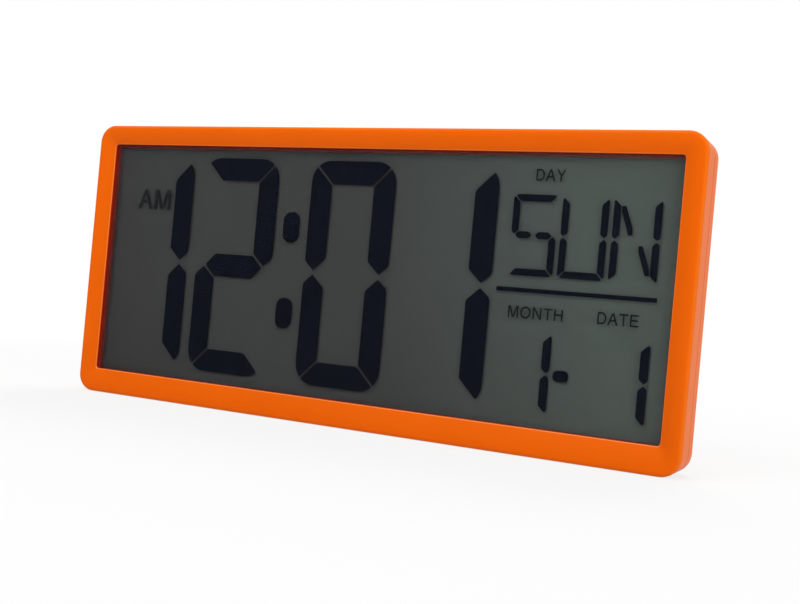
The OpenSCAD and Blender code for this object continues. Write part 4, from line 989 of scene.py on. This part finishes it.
class CLOCK_OT_front_bezel(bpy.types.Operator):
    """Front shell with its rounded rim, convex dish and window lip"""
    bl_idname = "clock.front_bezel"
    bl_label = "Front bezel"

    # Radius, hole and solid foot of the posts for the case screws and of the ears for the holder's screws
    POST = (3.0 * MM, 1.15 * MM, 2.5 * MM)
    EAR = (2.3 * MM, 0.95 * MM, 0.2 * MM)
    # Chamfers at the end of a boss and of its hole, and how far a boss reaches into the plate
    BOSS_CHAMFER = 0.2 * MM
    HOLE_CHAMFER = 0.15 * MM
    BOSS_ROOT = 0.3 * MM
    # Ribs round the glass: half width, half height, centre across and centre up, in millimetres
    RIBS = tuple((0.6, 3.0, x, z) for x in (-172.5, 172.5) for z in (44.4, 118.4)) + tuple(
        (3.0, 0.6, x, z) for x in (-103.6, 103.6) for z in (7.6, 152.2))
    RIB_ROOT = 0.2 * MM
    RIB_CORNER = 0.2 * MM
    RIB_POINTS = 3

    def profile(self, s):
        """Insets at the sides, top and bottom, corner radius and depth of each ring."""
        def even(inset, depth):
            return (inset, inset, inset, s.corner_radius - inset, depth)

        rows = [even(s.seam_chamfer, s.shell_depth), even(0, s.shell_depth - s.seam_chamfer),
                even(0, s.shell_depth - 2 * s.seam_chamfer), even(0, 1.2 * s.front_edge)]
        for k in range(FILLET_STEPS + 1):
            a = math.radians(90 * k / FILLET_STEPS)
            rows.append(even(s.front_edge * (1 - math.cos(a)), s.front_edge * (1 - math.sin(a))))
        rim = s.front_edge + s.rim_flat
        stop = 1 - s.window_edge / (s.side_border - rim)
        for k in range(DISH_STEPS + 1):
            rows.append(self.dish_row(s, rim, stop * k / DISH_STEPS))
        before = self.dish_row(s, rim, stop)
        corner = self.dish_row(s, rim, 1.0)
        after = corner[:4] + (corner[4] + s.window_edge,)
        for k in range(1, EDGE_STEPS + 1):
            u = k / EDGE_STEPS
            rows.append(tuple((1 - u) ** 2 * a + 2 * u * (1 - u) * b + u * u * c
                              for a, b, c in zip(before, corner, after)))
        self.lip_shade_strip = len(rows) - 1
        self.highlight_strips = range(self.lip_shade_strip - EDGE_STEPS, self.lip_shade_strip)
        rows.append(corner[:4] + (s.lip_depth,))
        behind = tuple(b - s.lip_thick for b in corner[:3]) + (corner[3] + s.lip_thick,)
        rows.append(behind + (s.lip_depth,))
        rows.append(behind + (s.plate_depth,))
        rows.append(even(s.wall, s.plate_depth))
        rows.append(even(s.wall, s.shell_depth))
        return rows

    @staticmethod
    def dish_row(s, rim, u):
        """A ring of the dish, from the rim at 0 to the window at 1."""
        borders = (s.side_border, s.top_border, s.bottom_border)
        insets = [rim + (b - rim) * u for b in borders]
        radius = (s.corner_radius - rim) * (1 - u) + s.window_radius * u
        return (*insets, radius, s.dish_depth * u ** s.dish_bulge)

    def boss(self, bm, x, z, base, top, radius, hole, solid):
        """A hollow boss that stands on the plate, open towards the back."""
        rows = ((radius, base - self.BOSS_ROOT), (radius, top - self.BOSS_CHAMFER),
                (radius - self.BOSS_CHAMFER, top), (hole + self.HOLE_CHAMFER, top),
                (hole, top - self.HOLE_CHAMFER), (hole, base + solid))
        loft(bm, [disc_ring(x, z, r, y) for r, y in rows])

    def execute(self, context):
        s = sizes()
        bm = bmesh.new()
        rings = [frame_ring(-HALF_W + side, HALF_W - side, bottom, HEIGHT - top, radius, at_depth(depth))
                 for side, top, bottom, radius, depth in self.profile(s)]
        # The window's rounded edge takes the painted highlight and the lip wall the painted shade
        finishes = {strip: 2 for strip in self.highlight_strips}
        finishes[self.lip_shade_strip] = 1
        loft(bm, rings, closed=True, finish_at=lambda strip: finishes.get(strip, 0))
        base = at_depth(s.plate_depth)
        for node, kind, top in (("case_screws", self.POST, BEZEL_HI.y),
                                ("holder_screws", self.EAR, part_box("lcd_holder")[0].y)):
            for low, high in islands(node):
                self.boss(bm, (low.x + high.x) / 2, (low.z + high.z) / 2, base, top, *kind)
        rib_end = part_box("lcd_rear_glass")[0].y
        for half_x, half_z, x, z in (tuple(n * MM for n in rib) for rib in self.RIBS):
            rings = [frame_ring(x - half_x, x + half_x, z - half_z, z + half_z, self.RIB_CORNER, y,
                                self.RIB_POINTS)
                     for y in (base - self.RIB_ROOT, rib_end)]
            loft(bm, rings)
        set_piece("front_bezel_shell", mesh_of(bm), "case",
                  ("orange_case", "orange_lip", "orange_edge"), ("front_bezel",))
        return {"FINISHED"}


class CLOCK_OT_back_mouldings(bpy.types.Operator):
    """Rear cover, battery door and stand, with their outer edges rounded"""
    bl_idname = "clock.back_mouldings"
    bl_label = "Back mouldings"

    def execute(self, context):
        s = sizes()
        passes = [(s.fine_edge, FINE_STEPS, on_plane(PANEL_FLOOR)),
                  (s.soft_edge, SOFT_STEPS, on_plane(BACK))]
        set_piece("rear_cover_shell", softened("rear_cover", passes), "case",
                  ("orange_case",), ("rear_cover",))
        for node in ("battery_door", "table_stand"):
            set_piece(node + "_panel", soft_faced(node), node, ("orange_case",), (node,))
        return {"FINISHED"}


class CLOCK_OT_controls(bpy.types.Operator):
    """Four buttons and the alarm knob, with rounded faces"""
    bl_idname = "clock.controls"
    bl_label = "Buttons and knob"

    # Node and body of each control
    CONTROLS = (("mode_button", "mode_button"), ("set_button", "set_button"), ("up_button", "up_button"),
                ("down_button", "down_button"), ("alarm_switch_knob", "alarm_switch"))

    def execute(self, context):
        for node, body in self.CONTROLS:
            set_piece(node + "_cap", soft_faced(node), body, ("dark_plastic",), (node,))
        return {"FINISHED"}


class CLOCK_OT_screws(bpy.types.Operator):
    """All screws, one row of them for each group"""
    bl_idname = "clock.screws"
    bl_label = "Screws"

    # Head height, shank radius, and whether the head points to the back
    KINDS = {
        "case_screws": (1.8 * MM, 1.1 * MM, True),
        "holder_screws": (1.4 * MM, 0.9 * MM, True),
        "board_screws": (1.4 * MM, 0.9 * MM, True),
        "button_board_screws": (1.4 * MM, 0.9 * MM, False),
    }

    def execute(self, context):
        tree, sockets = screw_rows()
        for seed, (node, (head_h, shank_r, to_back)) in enumerate(self.KINDS.items()):
            boxes = islands(node)
            low, high = boxes[0]
            head_r = (high.x - low.x) / 2
            mesh = screw_mesh(head_r, head_h, shank_r, high.y - low.y - head_h)
            screw = bpy.data.objects.new("one_screw", mesh)
            seat = high.y - head_h if to_back else low.y + head_h
            places = bpy.data.meshes.new("places")
            points = [((lo.x + hi.x) / 2, seat, (lo.z + hi.z) / 2) for lo, hi in boxes]
            places.from_pydata(points, [], [])
            lean = math.radians(-90 if to_back else 90)
            rows = grown(places, tree, sockets, {"Screw": screw, "Lean": lean, "Seed": seed,
                                                 "Finish": finish("bright_steel")})
            bpy.data.objects.remove(screw)
            set_piece(node + "_row", rows, "case", ("bright_steel",), (node,))
        return {"FINISHED"}


class CLOCK_OT_wiring(bpy.types.Operator):
    """Contact springs, leads and ribbon cable"""
    bl_idname = "clock.wiring"
    bl_label = "Springs and wiring"

    # Radii of a contact spring at its two ends, its turns, the points on a turn and the sides of its wire
    SPRING_WIDE = 4.4 * MM
    SPRING_NARROW = 3.2 * MM
    SPRING_TURNS = 4
    SPRING_STEPS = 36
    SPRING_SIDES = 12
    LEAD_SIDES = 14
    # Each lead: finish, start, offsets from it, end, offsets from that; millimetres across, deeper and up
    LEADS = {
        "red_lead": (
            "red_wire", (122.5, 16.25, 72.6),
            ((0, 0, 0), (1.5, 0, 0), (3, 0, 0), (5.5, -0.4, -3), (6, -0.9, -10), (4.5, -1.4, -18),
             (1, -1.8, -26)),
            (114.5, 12.6, 34), ((4, 2.9, 6), (1, 2.6, 2), (0, 1.6, 0), (0, 0.8, 0), (0, 0, 0))),
        "black_lead": (
            "black_wire", (122.5, 16.25, 87.4),
            ((0, 0, 0), (1.5, 0, 0), (3, 0, 0), (7, -0.2, -3), (9, -0.5, -11), (9, -0.9, -22),
             (8, -1.3, -33), (5, -1.7, -42)),
            (121.5, 12.6, 34), ((3, 2.9, 7), (1, 2.6, 2), (0, 1.6, 0), (0, 0.8, 0), (0, 0, 0))),
    }
    # Ribbon: (depth, height) of the curve's four handles in millimetres, thickness, points along it and
    # across one wire, and the part of its thickness that the humps over the wires have
    RIBBON = ((14.8, 36), (20.8, 36), (9.8, 62), (15.8, 62))
    RIBBON_THICK = 0.4 * MM
    RIBBON_STEPS = 24
    RIBBON_POINTS = 6
    RIBBON_HUMP = 0.45

    @staticmethod
    def route(start, first, end, second):
        """The smooth route of a lead."""
        spots = [tuple(a + b for a, b in zip(start, step)) for step in first]
        spots += [tuple(a + b for a, b in zip(end, step)) for step in second]
        return smooth_route([Vector((x * MM, at_depth(t * MM), z * MM)) for x, t, z in spots])

    def spring_paths(self):
        """The tapered coil of each contact spring, on the axis of its cell."""
        wire_r = sizes().spring_wire / 2
        count = self.SPRING_STEPS * self.SPRING_TURNS
        paths = []
        for low, high in islands("contact_springs"):
            upper = (low.z + high.z) / 2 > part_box("lower_cell")[1].z
            cell_low, cell_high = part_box("upper_cell" if upper else "lower_cell")
            axis_y, axis_z = (cell_low.y + cell_high.y) / 2, (cell_low.z + cell_high.z) / 2
            side = -1 if upper else 1
            start = (high.x if upper else low.x) + side * wire_r
            reach = high.x - low.x - 2 * wire_r
            path = []
            for k in range(count + 1):
                u = k / count
                r = self.SPRING_WIDE + (self.SPRING_NARROW - self.SPRING_WIDE) * u
                a = 2 * math.pi * self.SPRING_TURNS * u
                x = start + side * reach * u
                path.append(Vector((x, axis_y + r * math.cos(a), axis_z + r * math.sin(a))))
            paths.append(path)
        return paths

    def ribbon_mesh(self):
        """A flat cable with a hump over each wire and one edge marked."""
        low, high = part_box("ribbon_cable")
        count = sizes().conductors
        handles = [Vector((0, at_depth(t * MM), z * MM)) for t, z in self.RIBBON]
        path = []
        for k in range(self.RIBBON_STEPS + 1):
            u = k / self.RIBBON_STEPS
            weights = ((1 - u) ** 3, 3 * u * (1 - u) ** 2, 3 * u * u * (1 - u), u ** 3)
            path.append(sum((h * w for h, w in zip(handles, weights)), Vector()))
        pitch = (high.x - low.x) / count
        thick = self.RIBBON_THICK / 2
        upper = []
        for k in range(count * self.RIBBON_POINTS + 1):
            hump = abs(math.sin(math.pi * k / self.RIBBON_POINTS))
            upper.append((low.x + pitch * k / self.RIBBON_POINTS,
                          thick * (1 - self.RIBBON_HUMP + self.RIBBON_HUMP * hump)))
        section = upper + [(x, -h) for x, h in reversed(upper)]
        bm = bmesh.new()
        rings = []
        for k, spot in enumerate(path):
            ahead = path[min(k + 1, len(path) - 1)] - path[max(k - 1, 0)]
            normal = Vector((0, -ahead.z, ahead.y)).normalized()
            if k in (0, len(path) - 1):
                normal = Vector((0, 0, 1))
            rings.append([Vector((x, spot.y, spot.z)) + normal * h for x, h in section])
        loft(bm, rings)
        edge = low.x + pitch
        for face in bm.faces:
            if face.calc_center_median().x < edge and len(face.verts) == 4:
                face.material_index = 1
        return mesh_of(bm)

    def execute(self, context):
        s = sizes()
        tree, sockets = swept_round()
        springs = grown(path_mesh(self.spring_paths()), tree, sockets, {
            "Radius": s.spring_wire / 2, "Sides": self.SPRING_SIDES, "Finish": finish("bright_steel")})
        set_piece("contact_springs_coil", springs, "case", ("bright_steel",),
                  ("contact_springs",), weighted=False)
        for node, (slot, *way) in self.LEADS.items():
            lead = grown(path_mesh([self.route(*way)]), tree, sockets, {
                "Radius": s.lead_wire / 2, "Sides": self.LEAD_SIDES, "Finish": finish(slot)})
            set_piece(node + "_wire", lead, "case", (slot,), (node,), sharp=60, weighted=False)
        set_piece("ribbon_cable_flat", self.ribbon_mesh(), "case",
                  ("grey_ribbon", "red_wire"), ("ribbon_cable",), sharp=50, weighted=False)
        return {"FINISHED"}


class CLOCK_OT_soft_parts(bpy.types.Operator):
    """Foam gasket, rubber contact strip and the pad under the stand"""
    bl_idname = "clock.soft_parts"
    bl_label = "Soft parts"

    # Foam: width, corner radius, points round its section and on a corner, and how square its section is
    FOAM_WIDTH = 1.05 * MM
    FOAM_CORNER = 2.8 * MM
    FOAM_STEPS = 12
    FOAM_POINTS = 6
    FOAM_SQUARE = (0.6, 0.5)
    # Layers of the contact strip: start and end as shares of its height, and finish; then their rounding
    LAYERS = ((0.0, 0.36, 0), (0.38, 0.62, 1), (0.64, 1.0, 0))
    LAYER_EDGE = 0.12
    LAYER_POINTS = 3
    # Pad: ribs, points on each, how full they are, depth of the grooves and rounding of the ends
    PAD_RIBS = 5
    PAD_POINTS = 8
    PAD_FULL = 0.6
    PAD_GROOVE = 0.3 * MM
    PAD_EDGE = 0.3 * MM

    @staticmethod
    def squared(value, power):
        """A sine or cosine pushed out towards a square section."""
        return math.copysign(abs(value) ** power, value)

    def gasket(self):
        """A squarish ring of foam round the window."""
        low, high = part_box("lcd_gasket")
        middle = (low.y + high.y) / 2
        half = (high.y - low.y) / 2
        across, deep = self.FOAM_SQUARE
        rings = []
        for k in range(self.FOAM_STEPS):
            a = 2 * math.pi * k / self.FOAM_STEPS
            inset = self.FOAM_WIDTH / 2 * (1 - self.squared(math.cos(a), across))
            y = middle + half * self.squared(math.sin(a), deep)
            rings.append(inset_ring(low, high, inset, self.FOAM_CORNER - inset, y, self.FOAM_POINTS))
        bm = bmesh.new()
        loft(bm, rings, closed=True)
        return mesh_of(bm)

    def strip(self):
        """Three layers side by side, slightly bulged, with the conducting layer in the middle."""
        low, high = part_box("contact_strip")
        bm = bmesh.new()
        for start, end, index in self.LAYERS:
            z0 = low.z + (high.z - low.z) * start
            z1 = low.z + (high.z - low.z) * end
            soft = self.LAYER_EDGE * (z1 - z0)
            rings = [frame_ring(low.x + inset, high.x - inset, z0 + inset, z1 - inset, soft, y,
                                self.LAYER_POINTS)
                     for inset, y in ((soft, low.y), (0, low.y + soft), (0, high.y - soft), (soft, high.y))]
            loft(bm, rings, finish_at=lambda strip, index=index: index)
        return mesh_of(bm)

    def pad(self):
        """A rubber strip with ribs along its underside."""
        low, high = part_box("stand_pad")
        depth = high.y - low.y
        middle = (low.y + high.y) / 2
        section = [(low.y, high.z), (high.y, high.z)]
        steps = self.PAD_POINTS * self.PAD_RIBS
        for k in range(steps + 1):
            u = k / steps
            rise = self.PAD_GROOVE * (1 - abs(math.sin(math.pi * self.PAD_RIBS * u)) ** self.PAD_FULL)
            section.append((high.y - depth * u, low.z + rise))
        soft = self.PAD_EDGE
        rings = []
        for x, tuck in ((low.x, soft), (low.x + soft, 0), (high.x - soft, 0), (high.x, soft)):
            rings.append([Vector((x, middle + (y - middle) * (1 - 2 * tuck / depth), max(z, low.z + tuck)))
                          for y, z in section])
        bm = bmesh.new()
        loft(bm, rings)
        return mesh_of(bm)

    def execute(self, context):
        set_piece("lcd_gasket_foam", self.gasket(), "case", ("foam",), ("lcd_gasket",))
        set_piece("contact_strip_rubber", self.strip(), "case",
                  ("pink_rubber", "layered_core"), ("contact_strip",))
        set_piece("stand_pad_rubber", self.pad(), "table_stand",
                  ("black_rubber",), ("stand_pad",), sharp=60)
        return {"FINISHED"}


class CLOCK_OT_cells(bpy.types.Operator):
    """Two round cells with a printed wrap and steel ends"""
    bl_idname = "clock.cells"
    bl_label = "Cells"

    # Distance from the flat end, radius, and finish of the strip that follows: 0 wrap, 1 band, 2 steel
    PROFILE = ((0.25, 0.6, 2), (0.25, 4.4, 2), (0.0, 4.7, 2), (0.0, 5.3, 2), (0.3, 5.6, 2), (0.3, 6.4, 2),
               (0.15, 6.6, 0), (0.15, 6.95, 0), (0.45, 7.22, 0), (33.0, 7.22, 1), (33.02, 7.22, 1),
               (48.5, 7.22, 1), (48.52, 7.22, 0), (49.15, 7.22, 0), (49.45, 6.9, 0), (49.45, 6.3, 2),
               (49.2, 6.1, 2), (49.2, 3.3, 2), (49.3, 2.75, 2), (50.2, 2.72, 2), (50.5, 2.4, 2),
               (50.5, 0.5, 2))
    SIDES = 48

    def execute(self, context):
        for node, to_right in (("upper_cell", False), ("lower_cell", True)):
            low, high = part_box(node)
            y, z = (low.y + high.y) / 2, (low.z + high.z) / 2
            bm = bmesh.new()
            rings = []
            for along, radius, _ in self.PROFILE:
                x = low.x + along * MM if to_right else high.x - along * MM
                rings.append([Vector((x, y + radius * MM * math.cos(a), z + radius * MM * math.sin(a)))
                              for a in (2 * math.pi * k / self.SIDES for k in range(self.SIDES))])
            loft(bm, rings, finish_at=lambda strip: self.PROFILE[strip][2])
            set_piece(node + "_can", mesh_of(bm), "case",
                      ("cell_wrap", "cell_band", "bright_steel"), (node,))
        return {"FINISHED"}


class CLOCK_OT_words(bpy.types.Operator):
    """Plain words on the display and beside the controls on the back"""
    bl_idname = "clock.words"
    bl_label = "Words"

    # Word, centre across, foot, width or None and height in millimetres, and strokes as a share of the height
    DISPLAY = (("DAY", 104.4, 135.1, 15.2, 6.0, 0.14), ("MONTH", 102.5, 66.9, 28.2, 5.9, 0.14),
               ("DATE", 143.7, 67.4, 19.9, 5.9, 0.14))
    MORNING = (("A", -145.8, 111.2, 10.8, 11.8, 0.16), ("M", -133.3, 111.2, 11.65, 11.8, 0.16))
    PANEL = (("MODE", -116, 92.6, None, 2.0, 0.15), ("SET", -100, 92.6, None, 2.0, 0.15),
             ("UP", -84, 92.6, None, 2.0, 0.15), ("DOWN", -68, 92.6, None, 2.0, 0.15),
             ("ALARM", -108, 73.4, None, 2.0, 0.15), ("ON", -103.2, 62.4, None, 1.8, 0.15),
             ("OFF", -112.8, 62.4, None, 1.8, 0.15))

    # How far the words stand out of the panel
    INK_PROUD = 0.06 * MM

    @staticmethod
    def in_metres(rows):
        """The rows with their lengths in metres."""
        return [(word, x * MM, low * MM, width * MM if width else None, height * MM, stroke)
                for word, x, low, width, height, stroke in rows]

    def execute(self, context):
        low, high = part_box("lcd_time_segments")
        for name, rows, ink in (("lcd_words", self.DISPLAY, "legend_ink"),
                                ("lcd_morning_word", self.MORNING, "morning_ink")):
            mesh = words_mesh(self.in_metres(rows), low.y + HAIR, high.y - HAIR, -1)
            set_piece(name, mesh, "case", (ink,), weighted=False)
        mesh = words_mesh(self.in_metres(self.PANEL), PANEL_FLOOR - HAIR, PANEL_FLOOR + self.INK_PROUD, 1)
        set_piece("panel_words", mesh, "case", ("panel_ink",), weighted=False)
        return {"FINISHED"}


class CLOCK_OT_stage(bpy.types.Operator):
    """Pale floor, white surroundings, soft lights and the camera"""
    bl_idname = "clock.stage"
    bl_label = "Stage"

    CAMERA_PLACE = (0.2701, -0.4998, 0.06742)
    CAMERA_AHEAD = (-0.4409, 0.8975, 0.0038)
    CAMERA_UP = (-0.0800, -0.0435, 0.9959)
    LENS = 47.25
    SENSOR = 36
    CLIP_START = 0.01
    # Clear layers that a ray may pass through
    CLEAR_LAYERS = 24
    WHITE = (1, 1, 1, 1)
    # Floor: colour, reach, how far it lies under the clock, how far its shadow is kept whole, and how much
    # of what the camera sees there is plain white; at twice that distance all of it is
    FLOOR_COLOUR = (0.7, 0.7, 0.7, 1)
    FLOOR_REACH = 4.0
    FLOOR_DROP = 0.2 * MM
    SHADOW_REACH = 0.35
    GLOW = 0.8
    # Name, place, aim, size and power of each lamp
    LAMPS = (
        ("key_softbox", (-0.3, -1.12, 1.0), (0, 0, 0.08), 1.0, 10.0),
        ("fill_softbox", (1.15, -0.55, 0.4), (0, 0, 0.08), 0.8, 5.5),
        ("rear_softbox", (0.0, 0.9, 1.2), (0, 0, 0.08), 1.0, 13.0),
        ("top_softbox", (0.0, -0.3, 1.35), (0, 0, 0.08), 0.8, 4.0),
    )
    SURROUND = 0.4
    # A dark card on the floor before the clock and upright behind that, seen only in its reflections:
    # left, where it starts to fade, right, near and far Y, and top
    CARD_LEFT, CARD_FADE, CARD_RIGHT = -1.3, 0.08, 0.5
    CARD_NEAR, CARD_FAR, CARD_TOP = -0.03, -0.45, 0.6
    CARD_RISE = 0.1 * MM
    CARD_COLOUR = (0.01, 0.01, 0.01, 1)

    @staticmethod
    def set_stage(name, points, faces, material):
        """A plain object of the stage, which isn't part of the clock."""
        mesh = bpy.data.meshes.new(name)
        mesh.from_pydata(points, [], faces)
        mesh.materials.append(material)
        thing = add_object(name, mesh)
        return thing

    @staticmethod
    def shown_rays(tree):
        """1 for rays that show the background: from the camera, a mirror or glass."""
        path = tree.nodes.new("ShaderNodeLightPath")
        total = path.outputs["Is Camera Ray"]
        for label in ("Is Glossy Ray", "Is Transmission Ray"):
            total = calculate(tree, "MAXIMUM", total, path.outputs[label])
        return total

    def world(self):
        """White surroundings that light the clock less than they show."""
        world = bpy.data.worlds.new("white_studio")
        world.use_nodes = True
        tree = world.node_tree
        back = next(n for n in tree.nodes if n.type == "BACKGROUND")
        back.inputs["Color"].default_value = self.WHITE
        strength = spread(tree, self.shown_rays(tree), 0.0, 1.0, self.SURROUND, 1.0)
        tree.links.new(strength, back.inputs["Strength"])
        bpy.context.scene.world = world

    def floor(self):
        """A pale floor that turns plain white away from the clock's shadow."""
        material = bpy.data.materials.new("pale_floor")
        material.use_nodes = True
        tree = material.node_tree
        tree.nodes.clear()
        paint = add_node(tree, "ShaderNodeBsdfDiffuse", None, Color=self.FLOOR_COLOUR)
        glow = add_node(tree, "ShaderNodeEmission", None, Color=self.WHITE, Strength=1.0)
        coords = tree.nodes.new("ShaderNodeTexCoord").outputs["Object"]
        away = add_node(tree, "ShaderNodeVectorMath", {"operation": "LENGTH"})
        tree.links.new(coords, away.inputs[0])
        bare = spread(tree, away.outputs["Value"], self.SHADOW_REACH, 2 * self.SHADOW_REACH, self.GLOW, 1.0)
        part = calculate(tree, "MULTIPLY", self.shown_rays(tree), bare)
        mixed = tree.nodes.new("ShaderNodeMixShader")
        output = tree.nodes.new("ShaderNodeOutputMaterial")
        for value, socket in zip((part, paint.outputs[0], glow.outputs[0]), mixed.inputs):
            tree.links.new(value, socket)
        tree.links.new(mixed.outputs[0], output.inputs["Surface"])
        reach, level = self.FLOOR_REACH, -self.FLOOR_DROP
        corners = [(-reach, -reach, level), (reach, -reach, level), (reach, reach, level),
                   (-reach, reach, level)]
        self.set_stage("floor", corners, [(0, 1, 2, 3)], material)

    def card(self):
        """The dark card that keeps the display's reflections quiet."""
        material, tree, shader, coords = principled("dark_card")
        skin = use_group(tree, moulded_skin(), coords, Colour=self.CARD_COLOUR, Grain=400.0,
                         Smooth=0.8, Dull=0.9)
        put_on(tree, shader, skin)
        across = add_node(tree, "ShaderNodeSeparateXYZ", None, Vector=coords).outputs["X"]
        fade = spread(tree, across, self.CARD_FADE, self.CARD_RIGHT, 1.0, 0.0)
        tree.links.new(fade, shader.inputs["Alpha"])
        profile = ((self.CARD_NEAR, self.CARD_RISE), (self.CARD_FAR, self.CARD_RISE),
                   (self.CARD_FAR, self.CARD_TOP))
        points = [(x, y, z) for y, z in profile for x in (self.CARD_LEFT, self.CARD_RIGHT)]
        card = self.set_stage("dark_card", points, [(0, 1, 3, 2), (2, 3, 5, 4)], material)
        card.visible_camera = False
        card.visible_diffuse = False
        card.visible_shadow = False

    def lamps(self):
        """Soft round lamps that no reflection shows."""
        for name, place, aim, size, power in self.LAMPS:
            light = bpy.data.lights.new(name, "AREA")
            light.shape = "DISK"
            light.size = size
            light.energy = power
            lamp = add_object(name, light)
            lamp.location = place
            lamp.rotation_mode = "QUATERNION"
            lamp.rotation_quaternion = (Vector(aim) - Vector(place)).to_track_quat("-Z", "Y")
            lamp.visible_camera = False
            lamp.visible_glossy = False

    def camera(self):
        """The camera at the photograph's angle."""
        data = bpy.data.cameras.new("photo_camera")
        data.lens = self.LENS
        data.sensor_width = self.SENSOR
        data.sensor_fit = "HORIZONTAL"
        data.clip_start = self.CLIP_START
        camera = add_object("photo_camera", data)
        ahead = Vector(self.CAMERA_AHEAD).normalized()
        right = ahead.cross(Vector(self.CAMERA_UP)).normalized()
        up = right.cross(ahead)
        turn = Matrix((right, up, -ahead)).transposed().to_4x4()
        camera.matrix_world = Matrix.Translation(self.CAMERA_PLACE) @ turn
        bpy.context.scene.camera = camera

    def execute(self, context):
        scene = context.scene
        scene.view_settings.view_transform = "Standard"
        scene.cycles.transparent_max_bounces = self.CLEAR_LAYERS
        self.world()
        self.floor()
        self.card()
        self.lamps()
        self.camera()
        return {"FINISHED"}


OPERATORS = (CLOCK_OT_finishes, CLOCK_OT_display_sheets, CLOCK_OT_front_bezel, CLOCK_OT_back_mouldings,
             CLOCK_OT_controls, CLOCK_OT_screws, CLOCK_OT_wiring, CLOCK_OT_soft_parts, CLOCK_OT_cells,
             CLOCK_OT_words, CLOCK_OT_stage)


class CLOCK_PT_pieces(bpy.types.Panel):
    """Lists the steps that dress the clock"""
    bl_idname = "CLOCK_PT_pieces"
    bl_label = "Digital wall clock"
    bl_space_type = "VIEW_3D"
    bl_region_type = "UI"
    bl_category = "Clock"

    def draw(self, context):
        for operator in OPERATORS:
            self.layout.operator(operator.bl_idname)
        for group in (context.scene.clock_sizes, context.scene.clock_colours):
            for key in group.bl_rna.properties.keys():
                if key not in ("rna_type", "name"):
                    self.layout.prop(group, key)


CLASSES = (ClockSizes, ClockColours, *OPERATORS, CLOCK_PT_pieces)


def register():
    """Registers the classes and puts the sizes and colours on the scene."""
    for entry in CLASSES:
        bpy.utils.register_class(entry)
    bpy.types.Scene.clock_sizes = PointerProperty(type=ClockSizes)
    bpy.types.Scene.clock_colours = PointerProperty(type=ClockColours)


def unregister():
    """Takes the sizes, colours and classes away again."""
    del bpy.types.Scene.clock_colours
    del bpy.types.Scene.clock_sizes
    for entry in reversed(CLASSES):
        bpy.utils.unregister_class(entry)


def main():
    """Dresses the clock step by step."""
    register()
    bpy.ops.clock.finishes()
    bpy.ops.clock.display_sheets()
    bpy.ops.clock.front_bezel()
    bpy.ops.clock.back_mouldings()
    bpy.ops.clock.controls()
    bpy.ops.clock.screws()
    bpy.ops.clock.wiring()
    bpy.ops.clock.soft_parts()
    bpy.ops.clock.cells()
    bpy.ops.clock.words()
    bpy.ops.clock.stage()


if __name__ == "__main__":
    main()
